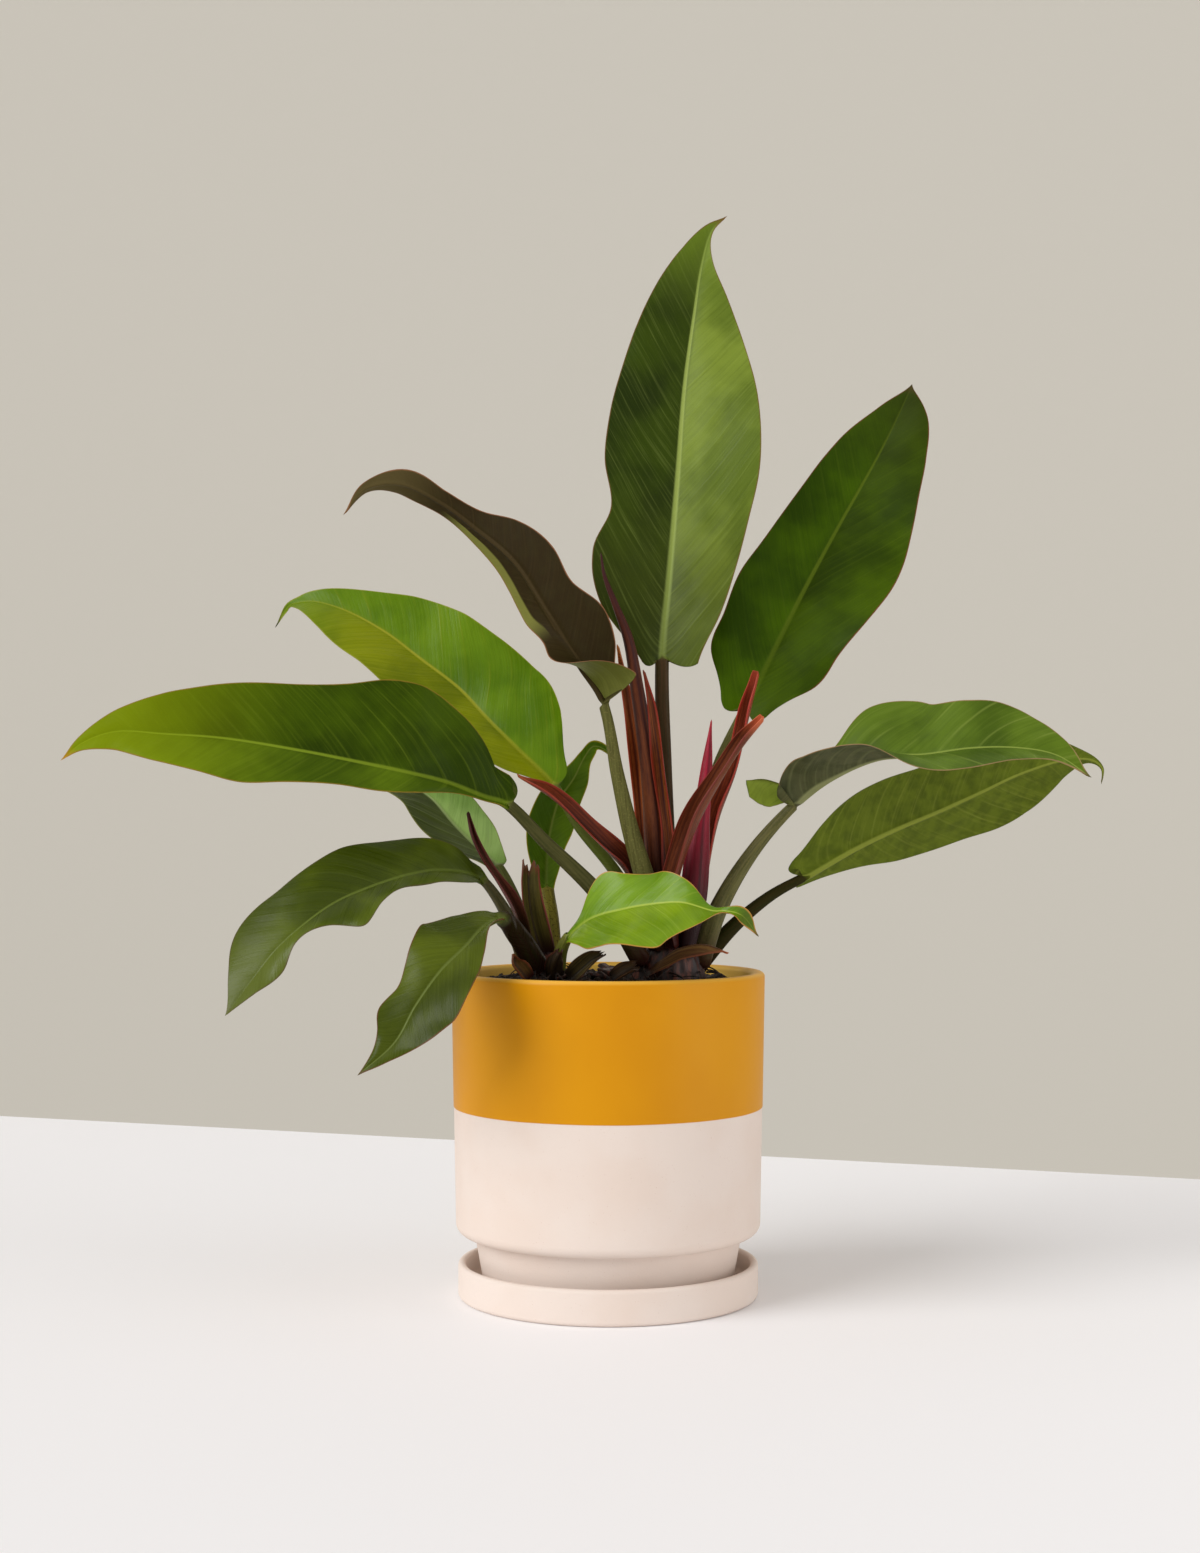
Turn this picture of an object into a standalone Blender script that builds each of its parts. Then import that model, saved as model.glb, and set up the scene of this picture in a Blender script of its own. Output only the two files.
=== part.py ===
"""Potted philodendron: two leafy shoots growing in a two-tone pot that stands in a clay saucer.

Metres, +Z up. The origin is the centre of the saucer's flat underside. The plant's own points are
in millimetres from the growing point, the centre of the soil's planting level.
"""

import math

import bmesh
import bpy
import numpy as np

MM = 0.001
DEGREE = math.pi / 180

# Clearances: every piece keeps this gap to the piece that it touches.
SEAT_GAP = 0.0003
PLANT_GAP = 0.0005

# Saucer
SAUCER_HEIGHT = 0.0187
SAUCER_ROOM = 0.0093
SAUCER_WALL = 0.0042
SAUCER_FLOOR = 0.0050
SAUCER_EDGE = 0.0020
SAUCER_BASE_CHAMFER = 0.0012

# Pot
POT_RADIUS = 0.085
POT_HEIGHT = 0.1692
POT_TAPER = 0.0024
POT_WALL = 0.0062
POT_FLOOR = 0.0090
LIP_ROUND = 0.0026
SHOULDER_HEIGHT = 0.0285
SHOULDER_ROUND = 0.0062
FOOT_INSET_TOP = 0.0130
FOOT_INSET_BASE = 0.0175
FOOT_RING = 0.0070
FOOT_RECESS = 0.0028
DRAIN_RADIUS = 0.0060

# Soil
SOIL_DROP = 0.0065
SOIL_MOUND = 0.0030
PLANTING_SINK = 0.0010

# Crowns: the short thick stems that the leaves grow from, in millimetres
MAIN_CROWN = {"centre": (33, -5), "radii": (22, 19), "height": 27}
SIDE_CROWN = {"centre": (-34, -11), "radii": (14, 12), "height": 19}
CROWN_SINK = 9

# Leaf substance, in millimetres
LEAF_THICKNESS = 0.9
MARGIN_THICKNESS = 0.5
RIB_THICKNESS = 1.3
SHEATH_RIB = 0.4
LEAST_WIDTH = 0.3
STALK_FLATNESS = 0.85

# How fast a leaf's base lobes and its rib's thickness fade, and how its stations crowd the joint
LOBE_FADE = 8
RIB_FADE = 4
STATION_CROWDING = 1.15

# Mesh fineness
TURN_STEPS = 48
CROWN_STEPS = 24
CROWN_RINGS = 12
MOUND_STEPS = 5
EDGE_STEPS = 4
BLADE_STEPS = 14
STALK_STEPS = 6
SHEATH_STEPS = 10
SPIKE_STEPS = 12
RING_POINTS = 5
SPIKE_POINTS = 10
ROOTLET_POINTS = 6
CURVE_SAMPLES = 400
FRAME_REACH = 1.5

LEAF_GREEN = (0.055, 0.135, 0.012)
COLOURS = {
    "bare clay": ((0.80, 0.67, 0.59), 0.75),
    "glazed clay": ((0.70, 0.32, 0.003), 0.35),
    "soil": ((0.022, 0.015, 0.011), 0.95),
    "crown": ((0.045, 0.018, 0.016), 0.55),
    "leaf": (LEAF_GREEN, 0.35),
    "yellow leaf": ((0.19, 0.31, 0.012), 0.3),
    "dark leaf": ((0.052, 0.040, 0.018), 0.45),
    "olive leaf": ((0.085, 0.115, 0.028), 0.45),
    "red sheath": ((0.20, 0.040, 0.022), 0.4),
    "pink sheath": ((0.33, 0.020, 0.045), 0.4),
    "brown scale": ((0.13, 0.045, 0.016), 0.6),
    "root": ((0.012, 0.009, 0.008), 0.7),
}

# Each leaf: the stalk's points from crown to joint, the blade's points from joint to tip, the way
# its upper face looks, each half's widths and folds at even steps from joint to tip, and the stalk's
# half-thickness at crown and joint.
LEAVES = {
    "leaf_top_centre": {
        "stalk": ((34, 9, 12), (33, 13, 60), (31, 14, 120)),
        "blade": ((30, 16, 180), (34, 25, 223), (39, 38, 278), (44, 53, 338), (50, 64, 382),
                  (55, 71, 414), (61, 75, 434), (70, 76, 443)),
        "face": ((0, -1, 0.1), (0, -1, 0.2), (0, -1, 0.1), (0.2, -1, 0.3)),
        "left": (10, 38, 45, 37, 43, 42, 38, 33, 25, 13, 0),
        "right": (20, 31, 38, 43, 47, 46, 41, 31, 18, 4, 0),
        "fold": ((14,), (14,)),
        "lobe": 7,
        "stalk_size": (5.2, 3.8),
    },
    "leaf_upper_right": {
        "stalk": ((44, 9, 12), (50, 18, 60), (60, 21, 115)),
        "blade": ((77, 22, 152), (92, 34, 182), (110, 49, 217), (131, 66, 255), (160, 83, 306),
                  (175, 92, 336), (181, 99, 349)),
        "face": ((-0.2, -1, 0.1),),
        "left": (16, 33, 35, 37, 35, 33, 30, 27, 22, 12, 0),
        "right": (14, 32, 37, 44, 48, 47, 42, 35, 28, 19, 0),
        "fold": ((14,), (14,)),
        "lobe": 6,
        "stalk_size": (5.0, 3.2),
    },
    "leaf_big_right": {
        "stalk": ((48, -7, 8), (60, -6, 42), (80, -1, 74)),
        "blade": ((103, 2, 99), (119, -11, 112), (144, -24, 123), (167, -34, 124),
                  (190, -43, 127), (213, -50, 127), (232, -57, 123), (249, -64, 111)),
        "face": ((0, -0.64, 0.77),),
        "left": (11, 14, 19, 36, 40, 34, 31, 30, 21, 8, 0),
        "right": (16, 22, 28, 30, 32, 32, 31, 25, 16, 4, 0),
        "fold": ((15,), (100, 60, 25, 15, 15)),
        "lobe": 9,
        "stalk_size": (6.0, 3.0),
    },
    "leaf_lower_right": {
        "stalk": ((46, 3, 6), (68, 5, 31), (89, 8, 48)),
        "blade": ((109, 10, 59), (136, 18, 74), (160, 26, 85), (185, 33, 95), (210, 37, 106),
                  (232, 40, 116), (258, 41, 124), (273, 42, 124), (280, 45, 119),
                  (280, 48, 110)),
        "face": ((0, 0.85, 0.5),),
        "left": (5, 11, 17, 24, 28, 30, 32, 29, 19, 4, 0),
        "right": (12, 22, 28, 29, 28, 27, 27, 24, 14, 3, 0),
        "fold": ((12,), (12,)),
        "lobe": 2,
        "stalk_size": (5.0, 2.6),
    },
    "leaf_long_left": {
        "stalk": ((20, -17, 10), (-2, -20, 46), (-34, -24, 78)),
        "blade": ((-54, -28, 98), (-66, -33, 102), (-84, -41, 109), (-104, -50, 114),
                  (-128, -58, 119), (-159, -67, 125), (-197, -73, 131), (-227, -78, 133),
                  (-251, -80, 134), (-267, -83, 128), (-277, -86, 119)),
        "face": ((0, -0.9, 0.44),),
        "left": (3, 4, 10, 16, 18, 21, 26, 23, 16, 9, 0),
        "right": (14, 30, 45, 47, 41, 36, 31, 25, 19, 8, 0),
        "fold": ((10,), (14,)),
        "lobe": 3,
        "stalk_size": (5.6, 3.2),
    },
    "leaf_upper_left": {
        "stalk": ((23, 3, 18), (6, 5, 58), (-16, 4, 86)),
        "blade": ((-30, 3, 109), (-48, 8, 127), (-67, 15, 146), (-83, 23, 163),
                  (-105, 30, 180), (-126, 37, 196), (-150, 43, 209), (-167, 47, 214),
                  (-175, 51, 214), (-183, 56, 212), (-191, 60, 200)),
        "face": ((0.35, -0.9, 0.25), (0.25, -0.9, 0.35), (0.2, -0.8, 0.5)),
        "left": (5, 16, 26, 30, 31, 30, 29, 26, 18, 5, 0),
        "right": (13, 29, 39, 40, 37, 35, 29, 20, 11, 3, 0),
        "fold": ((12,), (14,)),
        "lobe": 4,
        "stalk_size": (4.2, 2.6),
    },
    "leaf_dark_arching": {
        "stalk": ((29, -12, 16), (22, -14, 50), (12, -14, 84), (5, -14, 114)),
        "blade": ((-3, -14, 153), (-15, -9, 173), (-33, -1, 204), (-51, 8, 232),
                  (-72, 18, 251), (-93, 24, 267), (-116, 26, 278), (-136, 26, 275),
                  (-148, 26, 260)),
        "face": ((0.2, 0.9, 0.2), (0.55, 0.75, 0.35), (0.4, 0.8, 0.4), (0, 0.8, 0.6),
                 (-0.3, 0.5, 0.8)),
        "left": (6, 22, 27, 20, 22, 17, 9, 7, 8, 4, 0),
        "right": (34, 24, 11, 17, 17, 14, 10, 8, 9, 5, 0),
        "fold": ((25,), (-150, -90, -20, 0, 12, 12, 12, 12, 12)),
        "lobe": 0,
        "stalk_size": (6.6, 2.8),
    },
    "leaf_small_back": {
        "stalk": ((-29, -4, 6), (-31, 8, 34)),
        "blade": ((-34, 18, 53), (-34, 21, 67), (-32, 23, 84), (-27, 26, 101), (-19, 29, 113),
                  (-13, 32, 125), (-8, 34, 131), (0, 37, 128), (6, 40, 119)),
        "face": ((0.3, -0.9, 0.2), (0.4, -0.8, 0.3), (0.4, -0.7, 0.5)),
        "left": (3, 10, 15, 17, 15, 12, 9, 5, 3, 2, 0),
        "right": (4, 7, 9, 12, 13, 12, 9, 5, 4, 2, 0),
        "fold": ((20,), (20,)),
        "lobe": 0,
        "stalk_size": (4.6, 4.2),
    },
    "leaf_pale_back": {
        "stalk": ((-40, -3, 8), (-50, 4, 44)),
        "blade": ((-61, 12, 65), (-71, 21, 73), (-86, 33, 87), (-101, 45, 103),
                  (-121, 55, 114), (-142, 63, 120), (-157, 71, 122)),
        "face": ((0.4, -0.7, 0.6), (0.3, -0.7, 0.7)),
        "left": (8, 18, 22, 24, 24, 22, 20, 17, 12, 7, 0),
        "right": (6, 12, 18, 21, 21, 17, 13, 9, 6, 3, 0),
        "fold": ((12,), (12,)),
        "lobe": 2,
        "stalk_size": (5.0, 2.8),
    },
    "leaf_drooping_left": {
        "stalk": ((-42, -10, 8), (-54, -15, 38)),
        "blade": ((-67, -18, 57), (-74, -23, 61), (-90, -32, 63), (-104, -41, 61),
                  (-123, -50, 55), (-141, -58, 47), (-155, -65, 37), (-170, -71, 23),
                  (-182, -76, 7), (-194, -82, -10)),
        "face": ((0, -0.75, 0.66), (-0.1, -0.75, 0.66), (-0.3, -0.75, 0.6), (-0.4, -0.75, 0.5)),
        "left": (4, 13, 10, 10, 17, 25, 12, 8, 13, 10, 0),
        "right": (5, 15, 22, 25, 27, 26, 27, 27, 22, 12, 0),
        "fold": ((8,), (12,)),
        "lobe": 2,
        "stalk_size": (5.2, 2.6),
    },
    "leaf_hanging_front": {
        "stalk": ((-37, -19, 9), (-47, -33, 27)),
        "blade": ((-56, -46, 38), (-64, -59, 35), (-73, -72, 25), (-85, -83, 13),
                  (-97, -90, -4), (-107, -95, -22), (-125, -100, -38)),
        "face": ((-0.3, -0.7, 0.6), (-0.4, -0.85, 0.4), (-0.3, -0.9, 0.2)),
        "left": (3, 5, 8, 14, 22, 27, 27, 20, 11, 5, 0),
        "right": (8, 18, 25, 26, 23, 19, 15, 16, 11, 5, 0),
        "fold": ((10,), (10,)),
        "lobe": 0,
        "stalk_size": (6.5, 5.4),
    },
    "leaf_small_front": {
        "stalk": ((-28, -16, 6), (-25, -26, 20)),
        "blade": ((-20, -34, 29), (-9, -45, 38), (7, -56, 43), (22, -65, 46), (38, -72, 47),
                  (53, -77, 43), (59, -80, 43), (67, -82, 41), (76, -83, 30)),
        "face": ((0.1, -0.75, 0.65),),
        "left": (2, 9, 22, 22, 22, 19, 13, 6, 3, 3, 0),
        "right": (4, 15, 25, 30, 34, 35, 33, 20, 4, 4, 0),
        "fold": ((10,), (10,)),
        "lobe": 7,
        "stalk_size": (4.6, 3.0),
    },
}

# Leaf sheaths, scales and bracts: grooved tongues with no stalk. Their two halves are alike.
SHEATHS = {
    "sheath_left_groove": {
        "blade": ((17, 2, 50), (10, -2, 63), (0, -8, 74), (-15, -13, 89), (-31, -17, 103),
                  (-49, -18, 114)),
        "face": ((0.2, -0.75, 0.6),),
        "half": (6, 7, 8, 7, 6, 4, 0),
        "fold": (30,),
        "curl": 35,
    },
    "sheath_orange_tip": {
        "blade": ((22, 8, 50), (19, 8, 80), (15, 8, 128), (10, 7, 161), (5, 7, 186)),
        "face": ((-0.3, -0.9, 0.2),),
        "half": (4, 4, 4, 4, 4, 3, 0),
        "fold": (30,),
        "curl": 30,
    },
    "sheath_inner_strip": {
        "blade": ((36, -7, 44), (34, -10, 68), (31, -9, 95), (27, -8, 128), (23, -7, 155),
                  (19, -6, 171)),
        "face": ((-0.4, -0.9, 0.1),),
        "half": (5, 5, 4, 4, 4, 3, 0),
        "fold": (25,),
        "curl": 30,
    },
    "sheath_right_groove": {
        "crown": "main",
        "blade": ((48, 3, 23), (51, 6, 46), (55, 9, 72), (60, 10, 92), (68, 9, 114), (75, 6, 142),
                  (82, 4, 171)),
        "face": ((-0.5, -0.8, 0.4),),
        "half": (6, 6, 7, 7, 7, 6, 5, 3),
        "fold": (35,),
        "curl": 40,
    },
    "sheath_front_right": {
        "crown": "main",
        "blade": ((36, -18, 20), (35, -21, 38), (36, -23, 57), (45, -25, 84), (58, -27, 109),
                  (70, -28, 128), (83, -28, 144)),
        "face": ((-0.6, -0.7, 0.5),),
        "half": (5, 8, 9, 9, 8, 7, 6, 3),
        "fold": (35,),
        "curl": 50,
    },
    "sheath_torn_stub": {
        "crown": "side",
        "blade": ((-35, -10, 16), (-39, -10, 28), (-42, -10, 42), (-43, -10, 54), (-43, -10, 65)),
        "face": ((0.3, -0.9, 0.3),),
        "half": (8, 9, 9, 8, 7),
        "fold": (25,),
        "curl": 50,
    },
    "sheath_dried_curl": {
        "crown": "side",
        "blade": ((-43.7, -20, 25.5), (-50, -23, 43), (-58, -23, 57), (-66, -23, 69), (-72, -22, 81),
                  (-75, -22, 94)),
        "face": ((0.3, -0.9, 0.3),),
        "half": (4, 5, 5, 3, 3, 2, 0),
        "fold": (30,),
        "curl": 60,
    },
    "scale_front_brown": {
        "crown": "main",
        "solver": "MANIFOLD",
        "blade": ((20, -19, 9), (28, -31, 16), (38, -38, 22), (51, -44, 24), (63, -48, 20)),
        "face": ((0, -0.6, 0.8),),
        "half": (6, 8, 7, 5, 0),
        "fold": (-20,),
        "curl": -40,
    },
    "bract_side_left": {
        "crown": "side",
        "rooted": True,
        "blade": ((-42, -34, 2.6), (-46, -36, 7.6), (-49, -37, 11.6), (-50, -37, 16.6)),
        "face": ((0.3, -0.8, 0.5),),
        "half": (4, 5, 4, 0),
        "fold": (20,),
        "curl": 30,
    },
    "bract_side_front": {
        "crown": "side",
        "blade": ((-28, -25, 4.5), (-29, -29, 10), (-28, -32, 15), (-26, -33, 20)),
        "face": ((0, 1, 0.3),),
        "half": (6, 6, 5, 2),
        "fold": (20,),
        "curl": 40,
    },
    "stub_cut_leaf": {
        "rooted": True,
        "blade": ((-20, -38, 2.5), (-14, -39, 8), (-8, -40, 13), (-3, -40, 16)),
        "face": ((0.4, -0.6, 0.7),),
        "half": (5, 6, 5, 2),
        "fold": (20,),
        "curl": 40,
    },
    "stub_cut_low": {
        "rooted": True,
        "blade": ((2, -36, 1.9), (8, -38, 5.8), (15, -39, 8.8)),
        "face": ((0, -0.7, 0.7),),
        "half": (4, 5, 3),
        "fold": (15,),
        "curl": 30,
    },
}

# Round pieces: a route and its half-thickness at even steps.
SPIKES = {
    "new_leaf_rolled": {
        "crown": "main",
        "route": ((31, -3, 20), (30, -1, 36), (27, 0, 60), (24, -1, 100), (20, -1, 133), (16, -1, 160),
                  (11, -1, 188), (4, -1, 207), (-2, -1, 223), (-4, -1, 236)),
        "radius": (4.0, 5.0, 6.0, 5.6, 4.6, 4.2, 3.6, 2.8, 1.6, 0.5),
    },
    "sheath_pink_spike": {
        "crown": "main",
        "route": ((42, -15, 20), (46, -15, 50), (49, -12, 82), (52, -10, 106), (56, -8, 144)),
        "radius": (4.6, 7.2, 6.8, 4.6, 3.0, 0.4),
    },
}

# Rootlets lie on the soil: their bearing round the pot in degrees, their start's distance in from
# the pot's inner wall, their length, their rise and their half-thickness, in millimetres.
ROOTLETS = {
    "rootlet_back_left": (196, 11, 17, 3.0, 0.8),
    "rootlet_front_left": (238, 38, 13, 7.0, 0.8),
    "rootlet_front_right": (305, 20, 16, 1.6, 0.8),
    "rootlet_far_right": (340, 12, 14, 3.0, 0.8),
}


def clear_scene():
    for obj in list(bpy.data.objects):
        bpy.data.objects.remove(obj, do_unlink=True)


def material(name):
    """The one material for a finish, made the first time that it is asked for."""
    found = bpy.data.materials.get(name)
    if found:
        return found
    made = bpy.data.materials.new(name)
    made.use_nodes = True
    colour, roughness = COLOURS[name]
    shader = made.node_tree.nodes["Principled BSDF"]
    shader.inputs["Base Color"].default_value = (*colour, 1.0)
    shader.inputs["Roughness"].default_value = roughness
    shader.inputs["Metallic"].default_value = 0.0
    made.diffuse_color = (*colour, 1.0)
    return made


def add_object(name, bm, finish, smooth_angle=40):
    """A closed bmesh made into a named, smooth-shaded object with its faces pointing out."""
    bmesh.ops.recalc_face_normals(bm, faces=bm.faces)
    if bm.calc_volume(signed=True) < 0:
        bmesh.ops.reverse_faces(bm, faces=bm.faces)
    mesh = bpy.data.meshes.new(name)
    bm.to_mesh(mesh)
    bm.free()
    mesh.shade_smooth()
    mesh.set_sharp_from_angle(angle=smooth_angle * DEGREE)
    mesh.materials.append(material(finish))
    obj = bpy.data.objects.new(name, mesh)
    bpy.context.scene.collection.objects.link(obj)
    return obj


def arc(centre, radius, start, end, steps):
    """Points (r, z) on an arc from one angle to another, in degrees."""
    angles = [math.radians(start + (end - start) * i / steps) for i in range(steps + 1)]
    return [(centre[0] + radius * math.cos(a), centre[1] + radius * math.sin(a)) for a in angles]


def turned(name, profile, finish, closed):
    """A profile of (r, z) points spun once round the Z axis."""
    bm = bmesh.new()
    verts = [bm.verts.new((r, 0, z)) for r, z in profile]
    edges = [bm.edges.new(pair) for pair in zip(verts, verts[1:])]
    if closed:
        edges.append(bm.edges.new((verts[-1], verts[0])))
    bmesh.ops.spin(
        bm, geom=verts + edges, cent=(0, 0, 0), axis=(0, 0, 1), dvec=(0, 0, 0),
        angle=2 * math.pi, steps=TURN_STEPS, use_merge=True, use_duplicate=False,
    )
    bmesh.ops.remove_doubles(bm, verts=bm.verts, dist=1e-6)
    return add_object(name, bm, finish)


# The levels that pot, saucer, soil and plant share
POT_BASE = SAUCER_FLOOR + SEAT_GAP
POT_TOP = POT_BASE + POT_HEIGHT
SAUCER_RADIUS = POT_RADIUS - FOOT_INSET_BASE + SAUCER_ROOM + SAUCER_WALL
SHOULDER_TOP = POT_BASE + SHOULDER_HEIGHT + SHOULDER_ROUND
SOIL_EDGE = POT_TOP - SOIL_DROP
PLANTING_LEVEL = SOIL_EDGE - PLANTING_SINK


def pot_radius(z):
    """The pot wall's outer radius at a height: it narrows a little from rim to shoulder."""
    return POT_RADIUS - POT_TAPER * (POT_TOP - z) / (POT_TOP - SHOULDER_TOP)


def cavity_profile(gap):
    """The pot's hollow from its floor to its rim, (r, z), drawn in by a gap all round."""
    floor = POT_BASE + POT_FLOOR + gap
    foot = POT_RADIUS - FOOT_INSET_BASE - POT_WALL - gap
    neck = POT_RADIUS - FOOT_INSET_TOP - POT_WALL - gap
    ledge = POT_BASE + SHOULDER_HEIGHT + POT_WALL + gap
    rise = ledge + SHOULDER_ROUND
    return [
        (foot, floor),
        (neck, ledge),
        (pot_radius(rise) - POT_WALL - gap, rise),
    ]


def make_saucer():
    inner = SAUCER_RADIUS - SAUCER_WALL
    outer_edge = arc(
        (SAUCER_RADIUS - SAUCER_EDGE, SAUCER_HEIGHT - SAUCER_EDGE), SAUCER_EDGE, 90, 0, EDGE_STEPS
    )
    inner_edge = arc(
        (inner + SAUCER_EDGE, SAUCER_HEIGHT - SAUCER_EDGE), SAUCER_EDGE, 180, 90, EDGE_STEPS
    )
    well_centre = (inner - SAUCER_WALL, SAUCER_FLOOR + SAUCER_WALL)
    well = arc(well_centre, SAUCER_WALL, 270, 360, EDGE_STEPS)
    profile = [(0, SAUCER_FLOOR)] + well + inner_edge + outer_edge
    profile += [
        (SAUCER_RADIUS, SAUCER_BASE_CHAMFER * 2),
        (SAUCER_RADIUS - SAUCER_BASE_CHAMFER, 0),
        (0, 0),
    ]
    return turned("saucer", profile, "bare clay", closed=False)


def make_pot():
    """One fired body: glazed above, bare below, narrowing to a foot that stands in the saucer."""
    inner_rim = POT_RADIUS - POT_WALL
    foot_base = POT_RADIUS - FOOT_INSET_BASE
    foot_top = POT_RADIUS - FOOT_INSET_TOP
    shoulder_z = POT_BASE + SHOULDER_HEIGHT
    shoulder_centre = (pot_radius(SHOULDER_TOP) - SHOULDER_ROUND, SHOULDER_TOP)
    lip_out = arc((POT_RADIUS - LIP_ROUND, POT_TOP - LIP_ROUND), LIP_ROUND, 90, 0, EDGE_STEPS)
    lip_in = arc(
        (inner_rim + LIP_ROUND, POT_TOP - LIP_ROUND), LIP_ROUND, 180, 90, EDGE_STEPS
    )
    profile = lip_out + arc(shoulder_centre, SHOULDER_ROUND, 0, -90, EDGE_STEPS + 1)
    profile += [
        (foot_top, shoulder_z),
        (foot_base, POT_BASE + FOOT_RECESS),
        (foot_base - FOOT_RECESS, POT_BASE),
        (foot_base - FOOT_RING, POT_BASE),
        (foot_base - FOOT_RING - FOOT_RECESS, POT_BASE + FOOT_RECESS),
        (DRAIN_RADIUS, POT_BASE + FOOT_RECESS),
        (DRAIN_RADIUS, POT_BASE + POT_FLOOR),
    ]
    profile += cavity_profile(0) + lip_in[:-1]
    return turned("pot", profile, "bare clay", closed=True)


def make_soil(crown_cutters):
    """The potting soil fills the pot's hollow and mounds a little; the crowns stand in it."""
    rim = POT_RADIUS - POT_WALL - SEAT_GAP
    side = cavity_profile(SEAT_GAP)
    profile = [(0, side[0][1])] + side
    profile.append((pot_radius(SOIL_EDGE) - POT_WALL - SEAT_GAP, SOIL_EDGE))
    for i in range(1, MOUND_STEPS + 1):
        share = i / MOUND_STEPS
        profile.append((rim * (1 - share), SOIL_EDGE + SOIL_MOUND * math.sin(share * math.pi / 2)))
    soil = turned("potting_soil", profile, "soil", closed=False)
    for cutter in crown_cutters:
        subtract(soil, cutter)
    return soil


def subtract(obj, cutter, solver="EXACT"):
    """The object keeps clear of the cutter's room."""
    cut = obj.modifiers.new("clear of " + cutter.name, "BOOLEAN")
    cut.operation = "DIFFERENCE"
    cut.solver = solver
    cut.object = cutter


def crown_dome(name, crown, swell, finish):
    """A low dome, half sunk in the soil, as a stem's stump is."""
    (cx, cy), (rx, ry), height = crown["centre"], crown["radii"], crown["height"]
    bm = bmesh.new()
    bmesh.ops.create_uvsphere(bm, u_segments=CROWN_STEPS, v_segments=CROWN_RINGS, radius=1)
    sink = CROWN_SINK * MM + swell
    for vert in bm.verts:
        x, y, z = vert.co
        tall = height * MM + swell if z > 0 else sink
        vert.co = (
            cx * MM + x * (rx * MM + swell),
            cy * MM + y * (ry * MM + swell),
            PLANTING_LEVEL + z * tall,
        )
    return add_object(name, bm, finish)


def hide_cutter(obj):
    obj.hide_render = True
    obj.display_type = "WIRE"
    return obj


def through(values, at):
    """Smooth values through equally spaced stations; at runs from 0 to 1."""
    v = np.asarray(values, float)
    last = len(v) - 1
    if last == 0:
        return np.repeat(v, len(at), axis=0)
    x = np.clip(at, 0, 1) * last
    i = np.minimum(x.astype(int), last - 1)
    t = x - i
    a, b, c, d = v[np.maximum(i - 1, 0)], v[i], v[i + 1], v[np.minimum(i + 2, last)]
    if v.ndim > 1:
        t = t[:, None]
    return b + 0.5 * t * (c - a + t * (2 * a - 5 * b + 4 * c - d + t * (3 * (b - c) + d - a)))


def smooth_route(points):
    """Dense points on a smooth curve, the length to each, and the length to each given point."""
    p = np.asarray(points, float)
    knots = np.concatenate([[0], np.cumsum(np.linalg.norm(np.diff(p, axis=0), axis=1) ** 0.5)])
    slopes = np.empty_like(p)
    steps = np.diff(knots)[:, None]
    runs = np.diff(p, axis=0) / steps
    slopes[0], slopes[-1] = runs[0], runs[-1]
    slopes[1:-1] = (runs[:-1] * steps[1:] + runs[1:] * steps[:-1]) / (steps[:-1] + steps[1:])
    u = np.linspace(0, knots[-1], CURVE_SAMPLES)
    i = np.clip(np.searchsorted(knots, u, side="right") - 1, 0, len(p) - 2)
    h = steps[i]
    t = (u - knots[i])[:, None] / h
    dense = (
        (2 * t**3 - 3 * t**2 + 1) * p[i]
        + (t**3 - 2 * t**2 + t) * h * slopes[i]
        + (3 * t**2 - 2 * t**3) * p[i + 1]
        + (t**3 - t**2) * h * slopes[i + 1]
    )
    lengths = np.concatenate([[0], np.cumsum(np.linalg.norm(np.diff(dense, axis=0), axis=1))])
    return dense, lengths, np.interp(knots, u, lengths)


def unit(vectors):
    return vectors / np.linalg.norm(vectors, axis=1)[:, None]


class Growth:
    """A route with a direction, a side and a facing at every length along it, in millimetres."""

    def __init__(self, points, face, joint=0):
        self.dense, self.lengths, marks = smooth_route(points)
        self.joint = marks[joint]
        self.end = self.lengths[-1]
        self.face = np.asarray(face, float)

    def point(self, along):
        along = np.clip(along, 0, self.end)
        return np.stack([np.interp(along, self.lengths, axis) for axis in self.dense.T], axis=1)

    def frame(self, along):
        """Points, directions, sides and facings at these lengths."""
        ahead = unit(self.point(along + FRAME_REACH) - self.point(along - FRAME_REACH))
        looks = through(self.face, (along - self.joint) / (self.end - self.joint))
        facing = unit(looks - (looks * ahead).sum(axis=1)[:, None] * ahead)
        return self.point(along), ahead, np.cross(ahead, facing), facing


def half_section(width, fold, curl, reach):
    """Where a point of a folded and curled half lies, sideways and up, at its reach of 0 to 1."""
    fold, curl = fold * DEGREE, curl * DEGREE
    curl = np.where(np.abs(curl) < 1e-3, 1e-3, curl)
    sideways = width / curl * (np.sin(fold + curl * reach) - np.sin(fold))
    up = width / curl * (np.cos(fold) - np.cos(fold + curl * reach))
    return sideways, up


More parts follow.
